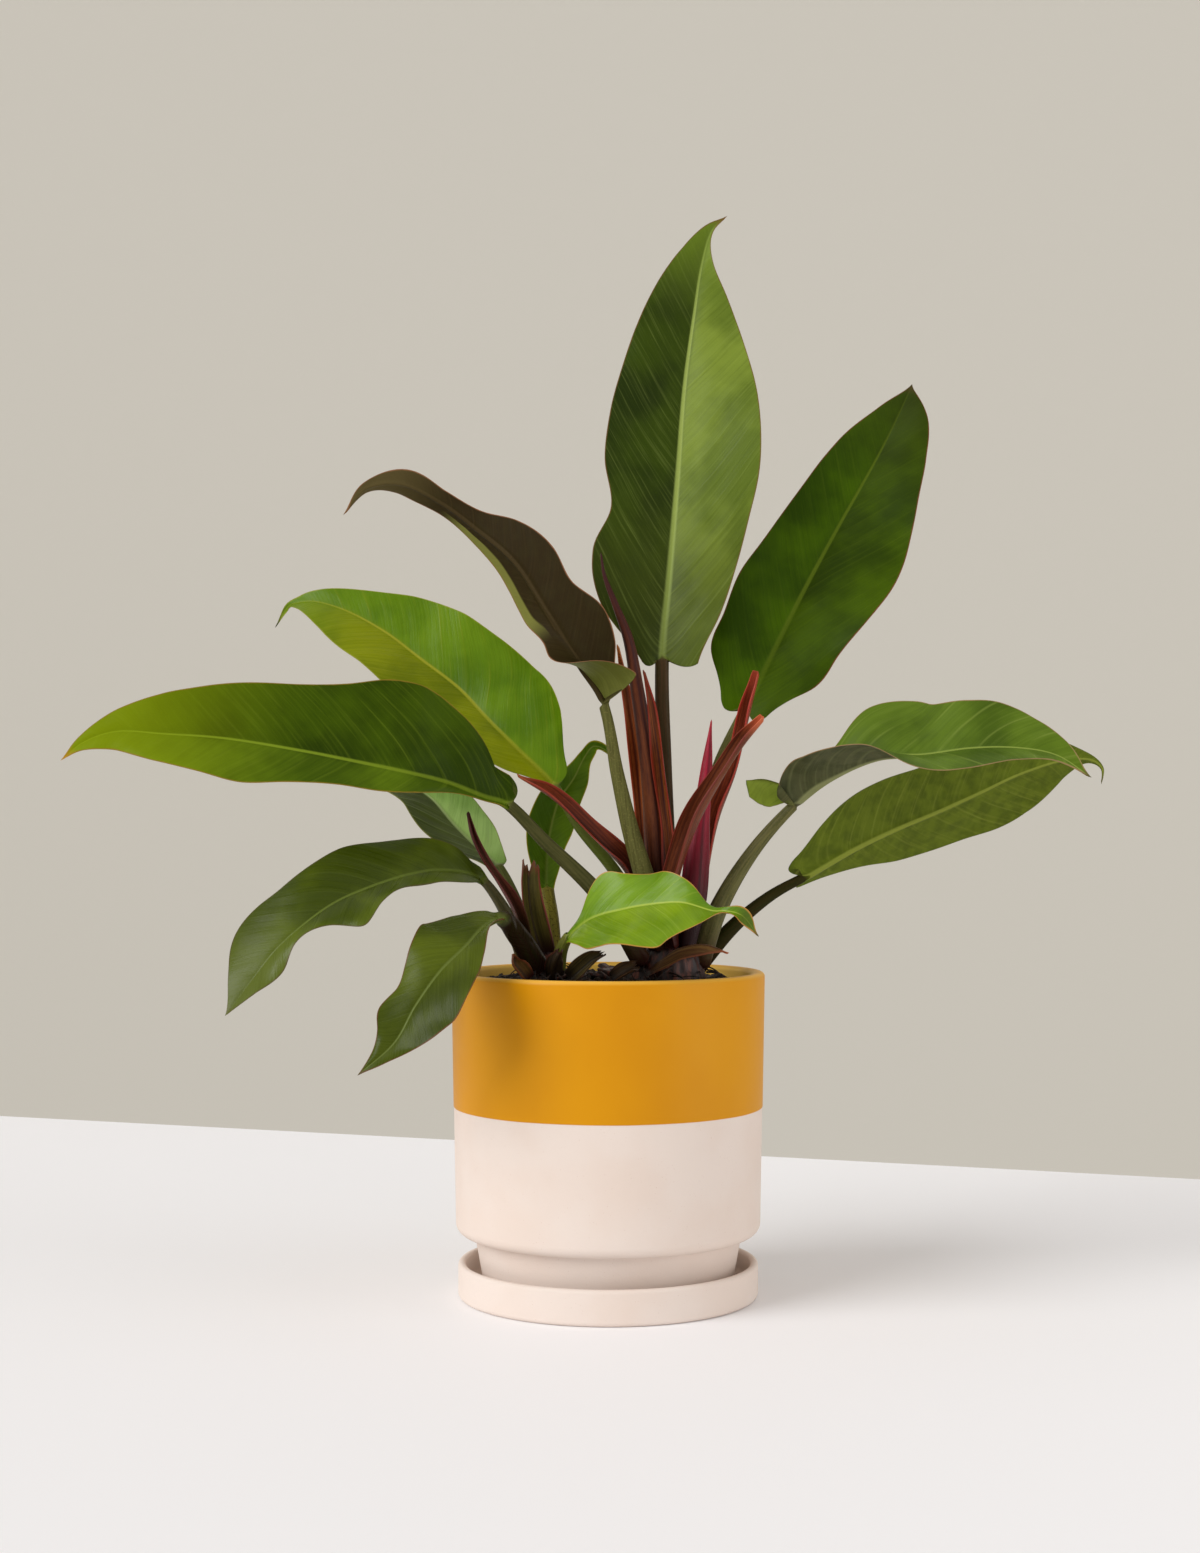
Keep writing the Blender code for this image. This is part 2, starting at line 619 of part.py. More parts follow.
def blade_rings(growth, plan, stations):
    """Closed rings round a thin blade: its upper face from left to right, then back below."""
    share = (stations - growth.joint) / (growth.end - growth.joint)
    place, ahead, side, facing = growth.frame(stations)
    reach = np.linspace(-1, 1, RING_POINTS)
    rows = []
    for r in reach:
        key = "right" if r > 0 else "left"
        which = 1 if r > 0 else 0
        width = np.maximum(through(plan[key], share), LEAST_WIDTH)
        fold = through(plan["fold"][which], share)
        curl = through(plan["curl"][which], share)
        across, up = half_section(width, fold, curl, abs(r))
        back = plan["lobe"] * abs(r) * (1 - np.clip(share, 0, 1)) ** LOBE_FADE
        tilt = (fold + curl * abs(r)) * DEGREE
        turn = math.copysign(1, r)
        point = place + side * (turn * across)[:, None] + facing * up[:, None]
        point = point - ahead * back[:, None]
        outward = facing * np.cos(tilt)[:, None] - side * (turn * np.sin(tilt))[:, None]
        rib = plan["rib"] * (1 - np.clip(share, 0, 1)) * (1 - abs(r)) ** RIB_FADE
        thick = MARGIN_THICKNESS + (LEAF_THICKNESS - MARGIN_THICKNESS) * (1 - r * r) + rib
        rows.append((point, point - outward * thick[:, None]))
    upper = [row[0] for row in rows]
    lower = [row[1] for row in reversed(rows)]
    return np.stack(upper + lower, axis=1)


def round_rings(growth, stations, sizes, ring_points, flat):
    """Closed rings round a stalk, in the same order as a blade's rings."""
    place, _, side, facing = growth.frame(stations)
    rings = []
    for k in range(ring_points):
        angle = math.pi - (k + 0.5) * 2 * math.pi / ring_points
        offset = side * math.cos(angle) + facing * (math.sin(angle) * flat)
        rings.append(place + offset * sizes[:, None])
    return np.stack(rings, axis=1)


def skin(name, rings, finish):
    """A closed body drawn over rings: each ring is extruded into the next, and the ends close."""
    rings = rings * MM + np.array([0, 0, PLANTING_LEVEL])
    bm = bmesh.new()
    verts = [bm.verts.new(co) for co in rings[0]]
    count = len(verts)
    edges = [bm.edges.new((verts[i], verts[(i + 1) % count])) for i in range(count)]
    bm.faces.new(verts)
    for ring in rings[1:]:
        made = bmesh.ops.extrude_edge_only(bm, edges=edges)["geom"]
        fresh = {v for v in made if isinstance(v, bmesh.types.BMVert)}
        grown = []
        for vert in verts:
            ahead = [e.other_vert(vert) for e in vert.link_edges if e.other_vert(vert) in fresh]
            grown.append(ahead[0])
        for vert, co in zip(grown, ring):
            vert.co = co
        verts = grown
        edges = [bm.edges.get((verts[i], verts[(i + 1) % count])) for i in range(count)]
    bm.faces.new(verts)
    return add_object(name, bm, finish, smooth_angle=60)


def make_leaf(name, plan, finish):
    """A leaf in one piece: its stalk widens from a round section into the blade."""
    plan = {"curl": ((0,), (0,)), "rib": RIB_THICKNESS, **plan}
    growth = Growth(plan["stalk"] + plan["blade"], plan["face"], joint=len(plan["stalk"]))
    stalk_at = np.linspace(0, growth.joint, STALK_STEPS)
    spread = np.linspace(0, 1, BLADE_STEPS)[1:]
    blade_at = growth.joint + (growth.end - growth.joint) * spread**STATION_CROWDING
    base, neck = plan["stalk_size"]
    sizes = base + (neck - base) * (stalk_at / growth.joint)
    stalk = round_rings(growth, stalk_at, sizes, 2 * RING_POINTS, STALK_FLATNESS)
    blade = blade_rings(growth, plan, blade_at)
    return skin(name, np.concatenate([stalk, blade]), finish)


def soil_level(radius):
    """The soil surface's height above the planting level, in millimetres, at a radius in metres."""
    share = 1 - radius / (POT_RADIUS - POT_WALL - SEAT_GAP)
    mound = SOIL_MOUND * math.sin(share * math.pi / 2)
    return (SOIL_EDGE + mound - PLANTING_LEVEL) / MM


def make_rootlet(name, plan, finish):
    """A wiry root that starts on the soil, humps over it and comes down again further along."""
    bearing, inset, length, rise, thick = plan
    start = (POT_RADIUS - POT_WALL) / MM - inset
    route = []
    for i in range(4):
        angle = (bearing + 9 * math.sin(i * 1.7)) * DEGREE
        reach = start - length * i / 3
        lift = thick + SEAT_GAP / MM + rise * math.sin(math.pi * i / 3) + soil_level(reach * MM)
        route.append((reach * math.cos(angle), reach * math.sin(angle), lift))
    plan = {"route": tuple(route), "radius": (thick, thick)}
    return make_spike(name, plan, finish, points=ROOTLET_POINTS)


def make_sheath(name, plan, finish):
    """A sheath: a short grooved tongue. A rooted one's heights are above the soil at its foot."""
    half = plan["half"]
    full = {
        "left": half, "right": half, "fold": (plan["fold"], plan["fold"]),
        "curl": ((plan["curl"],), (plan["curl"],)), "lobe": 0, "rib": SHEATH_RIB,
    }
    blade = np.array(plan["blade"], float)
    if plan.get("rooted"):
        blade[:, 2] += soil_level(math.hypot(*blade[0, :2]) * MM)
    growth = Growth(blade, plan["face"])
    stations = np.linspace(0, growth.end, SHEATH_STEPS)
    return skin(name, blade_rings(growth, full, stations), finish)


def make_spike(name, plan, finish, points=SPIKE_POINTS):
    """A round piece along its route, such as a rolled leaf or a root."""
    growth = Growth(plan["route"], ((0.3, -0.9, 0.3),))
    stations = np.linspace(0, growth.end, SPIKE_STEPS)
    sizes = through(plan["radius"], stations / growth.end)
    return skin(name, round_rings(growth, stations, sizes, points, 1), finish)


LEAF_FINISH = {
    "leaf_upper_left": "yellow leaf",
    "leaf_small_front": "yellow leaf",
    "leaf_dark_arching": "dark leaf",
    "leaf_lower_right": "olive leaf",
}
SHEATH_FINISH = {
    "scale_front_brown": "brown scale",
    "stub_cut_leaf": "brown scale",
    "stub_cut_low": "brown scale",
    "sheath_pink_spike": "pink sheath",
    "sheath_torn_stub": "olive leaf",
    "bract_side_left": "olive leaf",
    "bract_side_front": "crown",
}


def main():
    clear_scene()
    make_saucer()
    make_pot()
    cutters = {}
    for side, crown in (("main", MAIN_CROWN), ("side", SIDE_CROWN)):
        crown_dome(side + "_crown", crown, 0, "crown")
        cutters[side] = hide_cutter(crown_dome(side + "_crown_room", crown, PLANT_GAP, "crown"))
    make_soil(cutters.values())
    for name, plan in LEAVES.items():
        leaf = make_leaf(name, plan, LEAF_FINISH.get(name, "leaf"))
        subtract(leaf, cutters["main" if plan["stalk"][0][0] > 0 else "side"])
    for name, plan in SHEATHS.items():
        sheath = make_sheath(name, plan, SHEATH_FINISH.get(name, "red sheath"))
        if "crown" in plan:
            subtract(sheath, cutters[plan["crown"]], plan.get("solver", "EXACT"))
    for name, plan in SPIKES.items():
        spike = make_spike(name, plan, SHEATH_FINISH.get(name, "red sheath"))
        subtract(spike, cutters[plan["crown"]])
    for name, plan in ROOTLETS.items():
        make_rootlet(name, plan, "root")


main()
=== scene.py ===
"""Potted philodendron, dressed: two leafy shoots in a two-tone pot that stands in a clay saucer.

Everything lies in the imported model's own frame: metres, +Z up, the origin under the saucer's middle.
The plant's points are in millimetres from the middle of the planting level.
"""

import logging
import math
import random
from dataclasses import dataclass, field
from enum import Enum

import bmesh
import bpy
import numpy as np
from mathutils import Matrix, Vector, noise


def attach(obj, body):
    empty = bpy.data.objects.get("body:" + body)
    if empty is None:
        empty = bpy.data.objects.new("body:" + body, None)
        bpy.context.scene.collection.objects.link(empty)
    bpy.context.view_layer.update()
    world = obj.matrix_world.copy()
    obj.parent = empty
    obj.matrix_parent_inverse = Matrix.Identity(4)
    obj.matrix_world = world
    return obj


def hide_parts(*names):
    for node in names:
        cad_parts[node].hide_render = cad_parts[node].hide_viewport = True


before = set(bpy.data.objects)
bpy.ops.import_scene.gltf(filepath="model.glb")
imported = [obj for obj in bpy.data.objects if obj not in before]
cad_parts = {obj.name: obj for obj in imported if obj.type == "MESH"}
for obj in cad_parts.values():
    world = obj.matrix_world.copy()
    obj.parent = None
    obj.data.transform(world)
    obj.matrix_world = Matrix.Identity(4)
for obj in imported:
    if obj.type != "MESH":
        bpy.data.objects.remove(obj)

LOG = logging.getLogger("philodendron")
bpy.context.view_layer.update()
ROOT_BODY = "root"

MM = 0.001
TURN = 2 * math.pi
DEGREE = math.pi / 180
WELD = 1e-6
VEIN_BEND = 0.006
PLANTING_DROP = 0.001
LONGEST_STEP = 0.006
ROUND_FACE = ((0.3, -0.9, 0.3),)

Colour = tuple[int, int, int]
Point = tuple[float, float, float]
Spot = tuple[float, float]
Values = tuple[float, ...]
Socket = bpy.types.NodeSocket


class Slot(Enum):
    """The record's material slots."""

    BARE_CLAY = "bare_clay"
    TWO_TONE_POT = "two_tone_pot"
    POTTING_SOIL = "potting_soil"
    CROWN = "crown"
    LEAF_GREEN = "leaf_green"
    LEAF_UNDERSIDE = "leaf_underside"
    LEAF_YELLOW_GREEN = "leaf_yellow_green"
    LEAF_DARK = "leaf_dark"
    RED_SHEATH = "red_sheath"
    PINK_SHEATH = "pink_sheath"
    OLIVE_SHEATH = "olive_sheath"
    BROWN_SCALE = "brown_scale"
    ROOT = "root"


def linear(colour: Colour) -> tuple[float, float, float, float]:
    """A display colour as the linear colour that a shader takes.

    Args:
        colour: Red, green and blue from 0 to 255.

    Returns:
        Red, green, blue and an alpha of 1, linear.
    """
    shares = [c / 255 for c in colour]
    bent = [s / 12.92 if s <= 0.04045 else ((s + 0.055) / 1.055) ** 2.4 for s in shares]
    return (bent[0], bent[1], bent[2], 1.0)


def smooth(value: np.ndarray, low: float, high: float) -> np.ndarray:
    """A smooth step from 0 at low to 1 at high.

    Args:
        value: The values to map.
        low: Where the step starts.
        high: Where the step ends.

    Returns:
        The mapped values, from 0 to 1.
    """
    share = np.clip((value - low) / (high - low), 0, 1)
    return share * share * (3 - 2 * share)


def through(values: np.ndarray | tuple, at: np.ndarray) -> np.ndarray:
    """Smooth values through evenly spaced stations.

    Args:
        values: One value, or one vector, for each station.
        at: Where to read them, from 0 to 1.

    Returns:
        The value at each place.
    """
    v = np.asarray(values, float)
    last = len(v) - 1
    if last == 0:
        return np.repeat(v, len(at), axis=0)
    x = np.clip(at, 0, 1) * last
    i = np.minimum(x.astype(int), last - 1)
    t = x - i
    a, b, c, d = v[np.maximum(i - 1, 0)], v[i], v[i + 1], v[np.minimum(i + 2, last)]
    if v.ndim > 1:
        t = t[:, None]
    return b + 0.5 * t * (c - a + t * (2 * a - 5 * b + 4 * c - d + t * (3 * (b - c) + d - a)))


def unit(vectors: np.ndarray) -> np.ndarray:
    """The vectors, each made one long."""
    return vectors / np.linalg.norm(vectors, axis=-1, keepdims=True)


def sway(x: np.ndarray, y: np.ndarray, seed: float) -> np.ndarray:
    """Gentle unevenness from a few crossed waves.

    Args:
        x: First coordinate, in wavelengths.
        y: Second coordinate, in wavelengths.
        seed: Which of many patterns.

    Returns:
        Values from about -1 to 1.
    """
    first = np.sin(TURN * (0.9 * x + 0.31 * y) + 1.7 * seed)
    second = np.sin(TURN * (-0.43 * x + 1.13 * y) + 2.9 * seed + 1.1)
    third = np.sin(TURN * (1.57 * x - 0.83 * y) + 4.3 * seed + 2.3)
    return (first + second + 0.6 * third) / 2.6


class Shading:
    """A Principled material under construction, with short calls for the nodes that it needs."""

    def __init__(self, name: str) -> None:
        """Start a material.

        Args:
            name: Its name.
        """
        self.material = bpy.data.materials.new(name)
        self.material.use_nodes = True
        self.tree = self.material.node_tree
        self.shader = self.tree.nodes["Principled BSDF"]

    def feed(self, socket: Socket, value: object) -> None:
        """Give a socket its value.

        Args:
            socket: The socket.
            value: Another socket to link to it, a display colour, or a plain value.
        """
        if isinstance(value, bpy.types.NodeSocket):
            self.tree.links.new(value, socket)
        else:
            socket.default_value = linear(value) if isinstance(value, tuple) else value

    def add(self, kind: str, vector: Socket | None = None, **inputs: object) -> bpy.types.Node:
        """A new node.

        Args:
            kind: The node's type, after the word ShaderNode.
            vector: What its Vector input takes.
            inputs: Plain values for its other inputs, by name.

        Returns:
            The node.
        """
        node = self.tree.nodes.new("ShaderNode" + kind)
        if vector is not None:
            self.feed(node.inputs["Vector"], vector)
        for name, value in inputs.items():
            node.inputs[name].default_value = value
        return node

    def maths(self, operation: str, *values: object) -> Socket:
        """A maths node.

        Args:
            operation: The node's operation.
            values: Its inputs in order, sockets or numbers.

        Returns:
            The result's socket.
        """
        node = self.add("Math")
        node.operation = operation
        for socket, value in zip(node.inputs, values):
            self.feed(socket, value)
        return node.outputs[0]

    def mix(self, share: object, first: object, second: object, blend: str = "MIX") -> Socket:
        """A colour mix.

        Args:
            share: How much of the second colour shows.
            first: The first colour.
            second: The second colour.
            blend: The node's blend type.

        Returns:
            The mixed colour's socket.
        """
        node = self.add("Mix")
        node.data_type = "RGBA"
        node.blend_type = blend
        for index, value in ((0, share), (6, first), (7, second)):
            self.feed(node.inputs[index], value)
        return node.outputs[2]

    def step(self, value: Socket, low: float, high: float, most: float = 1.0) -> Socket:
        """A smooth step from 0 at low to most at high.

        Args:
            value: The socket to map.
            low: Where the step starts.
            high: Where the step ends.
            most: The value past high.

        Returns:
            The mapped value's socket.
        """
        node = self.add("MapRange")
        node.interpolation_type = "SMOOTHSTEP"
        for index, given in enumerate((value, low, high, 0.0, most)):
            self.feed(node.inputs[index], given)
        return node.outputs[0]

    def noise(self, vector: Socket, scale: float, detail: float = 2.0) -> Socket:
        """Cloudy noise.

        Args:
            vector: Where to read it.
            scale: How fine it is.
            detail: How many finer layers it has.

        Returns:
            The noise's value, from 0 to 1.
        """
        return self.add("TexNoise", vector, Scale=scale, Detail=detail).outputs[0]

    def pores(self, vector: Socket, scale: float) -> Socket:
        """The distance to the nearest of many scattered points."""
        return self.add("TexVoronoi", vector, Scale=scale).outputs["Distance"]

    def place(self) -> Socket:
        """Where a point is on the object, in metres."""
        return self.add("TexCoord").outputs["Object"]

    def stretch(self, vector: Socket, scale: Point, shift: Point = (0.0, 0.0, 0.0)) -> Socket:
        """A vector scaled and shifted by a Mapping node."""
        return self.add("Mapping", vector, Scale=scale, Location=shift).outputs[0]

    def parts(self, vector: Socket) -> list[Socket]:
        """A vector's X, Y and Z sockets."""
        return list(self.add("SeparateXYZ", vector).outputs)

    def attribute(self, name: str) -> Socket:
        """The vector that a mesh attribute holds.

        Args:
            name: The attribute's name.

        Returns:
            The vector's socket.
        """
        node = self.add("Attribute")
        node.attribute_name = name
        return node.outputs["Vector"]

    def bump(self, height: Socket, strength: float, depth: float, under: Socket | None = None) -> Socket:
        """A bump.

        Args:
            height: The height, from 0 to 1.
            strength: How strongly it shows.
            depth: Its depth, in metres.
            under: The normal of a coarser bump that it lies on.

        Returns:
            The bumped normal's socket.
        """
        node = self.add("Bump", Strength=strength, Distance=depth)
        self.feed(node.inputs["Height"], height)
        if under is not None:
            self.feed(node.inputs["Normal"], under)
        return node.outputs[0]

    def finish(self, **values: object) -> bpy.types.Material:
        """Close the material.

        Args:
            values: What the shader's sockets take, named with _ for a space.

        Returns:
            The material.
        """
        for name, value in values.items():
            self.feed(self.shader.inputs[name.replace("_", " ")], value)
        return self.material


@dataclass(frozen=True)
class BareClay:
    """Unglazed pale clay: matt, faintly blotched, with fine grit and pores."""

    body: Colour = (227, 213, 203)
    blush: Colour = (221, 201, 187)
    grit: Colour = (196, 164, 146)
    roughness: float = 0.80
    grain: float = 900.0
    blotch: float = 22.0
    blotch_show: float = 0.40

    def surface(self, s: Shading) -> tuple[Socket, Socket]:
        """The clay's colour and its bumped normal.

        Args:
            s: The material that they go into.

        Returns:
            The colour's socket and the normal's socket.
        """
        at = s.place()
        blotches = s.step(s.noise(at, self.blotch, 3.0), 0.38, 0.68, self.blotch_show)
        clouded = s.mix(blotches, self.body, self.blush)
        specks = s.maths("MULTIPLY", s.step(s.pores(at, 620.0), 0.16, 0.06), 0.55)
        sparse = s.step(s.noise(at, 160.0, 1.0), 0.52, 0.62)
        colour = s.mix(s.maths("MULTIPLY", specks, sparse), clouded, self.grit)
        coarse = s.bump(s.noise(at, self.grain / 5, 2.0), 0.16, 0.0006)
        return colour, s.bump(s.noise(at, self.grain, 3.0), 0.30, 0.00025, coarse)

    def material(self, name: str) -> bpy.types.Material:
        """The finished clay material.

        Args:
            name: The material's name.

        Returns:
            The material.
        """
        s = Shading(name)
        colour, normal = self.surface(s)
        return s.finish(Base_Color=colour, Normal=normal, Roughness=self.roughness)


@dataclass(frozen=True)
class TwoToneGlaze:
    """A satin mustard glaze over the upper pot; the clay below its line is left bare."""

    line: float
    lip: float
    inner_radius: float
    glaze: Colour = (212, 145, 0)
    pooled: Colour = (204, 136, 0)
    thin: Colour = (240, 186, 76)
    # Painted light: a paler yellow for the inner wall, standing in for light that falls into the pot.
    inside: Colour = (255, 206, 96)
    reflection: float = 0.16
    clay: BareClay = field(default_factory=BareClay)
    soft: float = 0.00018
    wander: float = 0.0004

    def material(self, name: str) -> bpy.types.Material:
        """The pot's material: glaze above the line, clay below it.

        Args:
            name: The material's name.

        Returns:
            The material.
        """
        s = Shading(name)
        clay, clay_normal = self.clay.surface(s)
        at = s.place()
        height = s.parts(at)[2]
        drift = s.maths("MULTIPLY_ADD", s.noise(at, 30.0, 2.0), self.wander, -self.wander / 2)
        level = s.maths("ADD", height, drift)
        glazed = s.step(level, self.line - self.soft, self.line + self.soft)
        cloud = s.noise(s.stretch(at, (1.0, 1.0, 0.6)), 16.0, 3.0)
        coat = s.mix(s.step(cloud, 0.30, 0.75), self.glaze, self.pooled)
        worn = s.step(height, self.lip - 0.0024, self.lip - 0.0002, 0.75)
        coat = s.mix(worn, coat, self.thin)
        # Painted light: inside the inner radius the glaze turns to the paler inside colour, lighting the
        # inner wall above the soil.
        x, y, _ = s.parts(at)
        reach = s.maths("SQRT", s.maths("ADD", s.maths("MULTIPLY", x, x), s.maths("MULTIPLY", y, y)))
        painted_light_within = s.step(reach, self.inner_radius + 0.0012, self.inner_radius + 0.0002)
        coat = s.mix(painted_light_within, coat, self.inside)
        seam = s.maths("MULTIPLY", s.step(level, self.line + 0.0012, self.line), 0.35)
        coat = s.mix(seam, coat, self.pooled)
        even = s.bump(s.noise(at, 260.0, 2.0), 0.08, 0.0004)
        normal = s.add("Mix")
        normal.data_type = "VECTOR"
        for index, value in ((0, glazed), (4, clay_normal), (5, even)):
            s.feed(normal.inputs[index], value)
        sheen = s.maths("MULTIPLY_ADD", s.noise(at, 40.0, 2.0), 0.12, 0.36)
        rough = s.maths("MULTIPLY_ADD", glazed, s.maths("SUBTRACT", sheen, self.clay.roughness),
                        self.clay.roughness)
        return s.finish(
            Base_Color=s.mix(glazed, clay, coat), Normal=normal.outputs[1], Roughness=rough,
            Specular_IOR_Level=self.reflection,
        )


@dataclass(frozen=True)
class PottingMix:
    """Damp potting mix: near black, with brown fibre and a few pale grains."""

    dark: Colour = (24, 18, 14)
    brown: Colour = (70, 50, 36)
    pale: Colour = (120, 98, 74)

    def material(self, name: str) -> bpy.types.Material:
        """The finished soil material.

        Args:
            name: The material's name.

        Returns:
            The material.
        """
        s = Shading(name)
        at = s.place()
        lumps = s.step(s.noise(at, 240.0, 4.0), 0.42, 0.70)
        colour = s.mix(lumps, self.dark, self.brown)
        grains = s.maths("MULTIPLY", s.step(s.noise(at, 700.0, 1.0), 0.66, 0.74), 0.6)
        colour = s.mix(grains, colour, self.pale)
        rough = s.bump(s.noise(at, 420.0, 4.0), 0.7, 0.0012)
        return s.finish(Base_Color=colour, Normal=rough, Roughness=0.92)


@dataclass(frozen=True)
class LeafFinish:
    """A leaf's colours and veins. Its left and right halves are named looking from joint to tip; their two
    colours hold each half's own tone and, on some leaves, painted light and shade from how that half faces
    the light.
    """

    # Each half's colour: its own green and, on some leaves, painted light or painted shade.
    left: Colour
    right: Colour
    rib: Colour
    under: Colour
    under_rib: Colour
    stalk: Colour
    stalk_base: Colour = (58, 26, 22)
    margin: Colour = (120, 74, 48)
    tip: Colour = (110, 92, 44)
    shade: Colour = (26, 40, 6)
    base_tint: Colour = (60, 74, 16)
    base_reach: float = 0.0
    end_tint: Colour = (90, 90, 30)
    end_span: tuple[float, float] = (2.0, 3.0)
    roll: Colour = (116, 116, 56)
    roll_width: float = 0.0
    roll_span: tuple[float, float] = (0.2, 0.7)
    rib_width: float = 2.2
    vein_show: float = 0.35
    vein_fineness: float = 60.0
    streaks: float = 0.13
    foot_from: float = -0.62
    quilt: float = 0.10
    swell: float = 0.55
    roughness: float = 0.36
    reflection: float = 0.16
    speckle: float = 0.0
    speck: Colour = (112, 106, 58)

    def material(self, name: str, blade: "Lamina") -> bpy.types.Material:
        """The leaf's material.

        Args:
            name: The material's name.
            blade: The blade, whose quilting the veins follow and whose seed picks the patches.

        Returns:
            The finished material.
        """
        s = Shading(name)
        seed = blade.seed
        lamina, region = s.attribute("lamina"), s.attribute("region")
        across, along, edge = s.parts(lamina)
        share, under, bladed = s.parts(region)
        away = s.maths("ABSOLUTE", across)
        flat = s.stretch(lamina, (0.001, 0.001, 0.0), (seed * 0.37, seed * 0.53, seed * 0.11))
        mottle = s.noise(flat, 26.0, 3.0)
        fine = s.noise(flat, 160.0, 2.0)

        wander = s.maths("MULTIPLY_ADD", s.noise(flat, 14.0, 1.0), 12.0, -6.0)
        bend = s.maths("MULTIPLY", s.maths("MULTIPLY", away, away), VEIN_BEND)
        rise = s.maths("MULTIPLY_ADD", away, blade.quilt_slope, s.maths("ADD", bend, wander))
        lead = s.maths("SUBTRACT", along, rise)
        wave = s.maths("COSINE", s.maths("MULTIPLY", lead, TURN / blade.quilt_gap))
        crest = s.maths("MULTIPLY_ADD", wave, 0.5, 0.5)
        worn = s.step(s.noise(flat, 34.0, 1.0), 0.30, 0.62)
        vein = s.maths("MULTIPLY", s.maths("POWER", crest, self.vein_fineness), worn)
        weave = s.add("CombineXYZ")
        for socket, value in zip(weave.inputs, (lead, s.maths("MULTIPLY", away, 0.06), seed)):
            s.feed(socket, value)
        streak = s.noise(weave.outputs[0], 0.55, 4.0)
        thread = s.noise(weave.outputs[0], 1.9, 2.0)

        # The two half colours split along the rib: partly each half's own tone, partly painted light and
        # shade across the fold.
        half_tone_and_light = s.step(s.maths("ADD", across, s.maths("MULTIPLY_ADD", mottle, 5.0, -2.5)), -2.5, 2.5)
        green = s.mix(half_tone_and_light, self.left, self.right)
        patch = s.step(mottle, 0.36, 0.66, 0.55)
        green = s.mix(patch, green, self.shade, "SOFT_LIGHT")
        tint = s.step(share, self.base_reach, self.base_reach * 0.25 - 0.01)
        green = s.mix(s.maths("MULTIPLY", tint, 0.6), green, self.base_tint)
        green = s.mix(s.step(streak, 0.52, 0.34, self.streaks), green, self.shade)
        green = s.mix(s.step(streak, 0.52, 0.76, self.streaks), green, self.rib)
        green = s.mix(s.step(thread, 0.50, 0.80, 0.5 * self.streaks), green, self.rib)
        green = s.mix(s.maths("MULTIPLY", vein, self.vein_show), green, self.rib)
        narrow = s.maths("MULTIPLY_ADD", share, -0.80 * self.rib_width, self.rib_width)
        ribbed = s.maths("DIVIDE", away, s.maths("MAXIMUM", narrow, 0.25))
        rib = s.step(ribbed, 1.15, 0.35)
        raised = s.maths("MULTIPLY", rib, s.maths("ADD", s.step(share, 0.02, 0.45, 0.4), 0.5))
        green = s.mix(raised, green, self.rib)

        below = s.mix(s.step(fine, 0.35, 0.7, 0.35), self.under, self.shade)
        below = s.mix(s.step(streak, 0.44, 0.78, 1.6 * self.streaks), below,
                      self.under_rib)
        below = s.mix(s.maths("MULTIPLY", vein, 0.25), below, self.under_rib)
        below = s.mix(s.maths("MULTIPLY", rib, 0.85), below, self.under_rib)
        roll = s.step(s.maths("SUBTRACT", across, edge), 0.0, 0.1)
        roll = s.maths("MULTIPLY", roll, s.step(edge, self.roll_width + 1.0, self.roll_width - 0.5))
        roll = s.maths("MULTIPLY", roll, s.step(share, self.roll_span[0], self.roll_span[0] + 0.1))
        roll = s.maths("MULTIPLY", roll, s.step(share, self.roll_span[1], self.roll_span[1] - 0.1))
        below = s.mix(s.maths("MULTIPLY", roll, float(self.roll_width > 0)), below,
                      self.roll)
        face = s.mix(under, green, below)
        face = s.mix(s.step(share, *self.end_span, 0.75), face, self.end_tint)
        rim = s.step(s.maths("MULTIPLY_ADD", fine, 0.7, edge), 1.15, 0.45)
        face = s.mix(s.maths("MULTIPLY", rim, 0.85), face, self.margin)
        face = s.mix(s.step(share, 0.955, 0.995), face, self.tip)

        lines = s.noise(s.stretch(lamina, (0.9, 0.05, 0.0), (seed, seed, seed)), 1.0, 3.0)
        stalk = s.mix(s.step(lines, 0.35, 0.7, 0.5), self.stalk, self.shade)
        dots = s.step(s.noise(flat, 900.0, 1.0), 0.56, 0.66, self.speckle)
        stalk = s.mix(dots, stalk, self.speck)
        foot = s.step(s.maths("MULTIPLY_ADD", lines, 0.2, share), self.foot_from, -0.92)
        stalk = s.mix(foot, stalk, self.stalk_base)
        colour = s.mix(bladed, stalk, face)

        swells = s.bump(s.noise(s.stretch(flat, (1.0, 0.6, 1.0)), 34.0, 1.0), self.swell, 0.0045)
        veins = s.bump(s.maths("MULTIPLY_ADD", crest, 0.7, vein), self.quilt, 0.0010, swells)
        lines = s.bump(s.maths("MULTIPLY_ADD", thread, 0.5, streak), 0.28, 0.0006, veins)
        skin = s.bump(s.noise(flat, 700.0, 2.0), 0.08, 0.0003, lines)
        gloss = s.maths("MULTIPLY_ADD", streak, 0.20, self.roughness - 0.10)
        gloss = s.maths("MULTIPLY_ADD", under, 0.14, gloss)
        return s.finish(
            Base_Color=colour, Normal=skin, Roughness=gloss, Specular_IOR_Level=self.reflection
        )


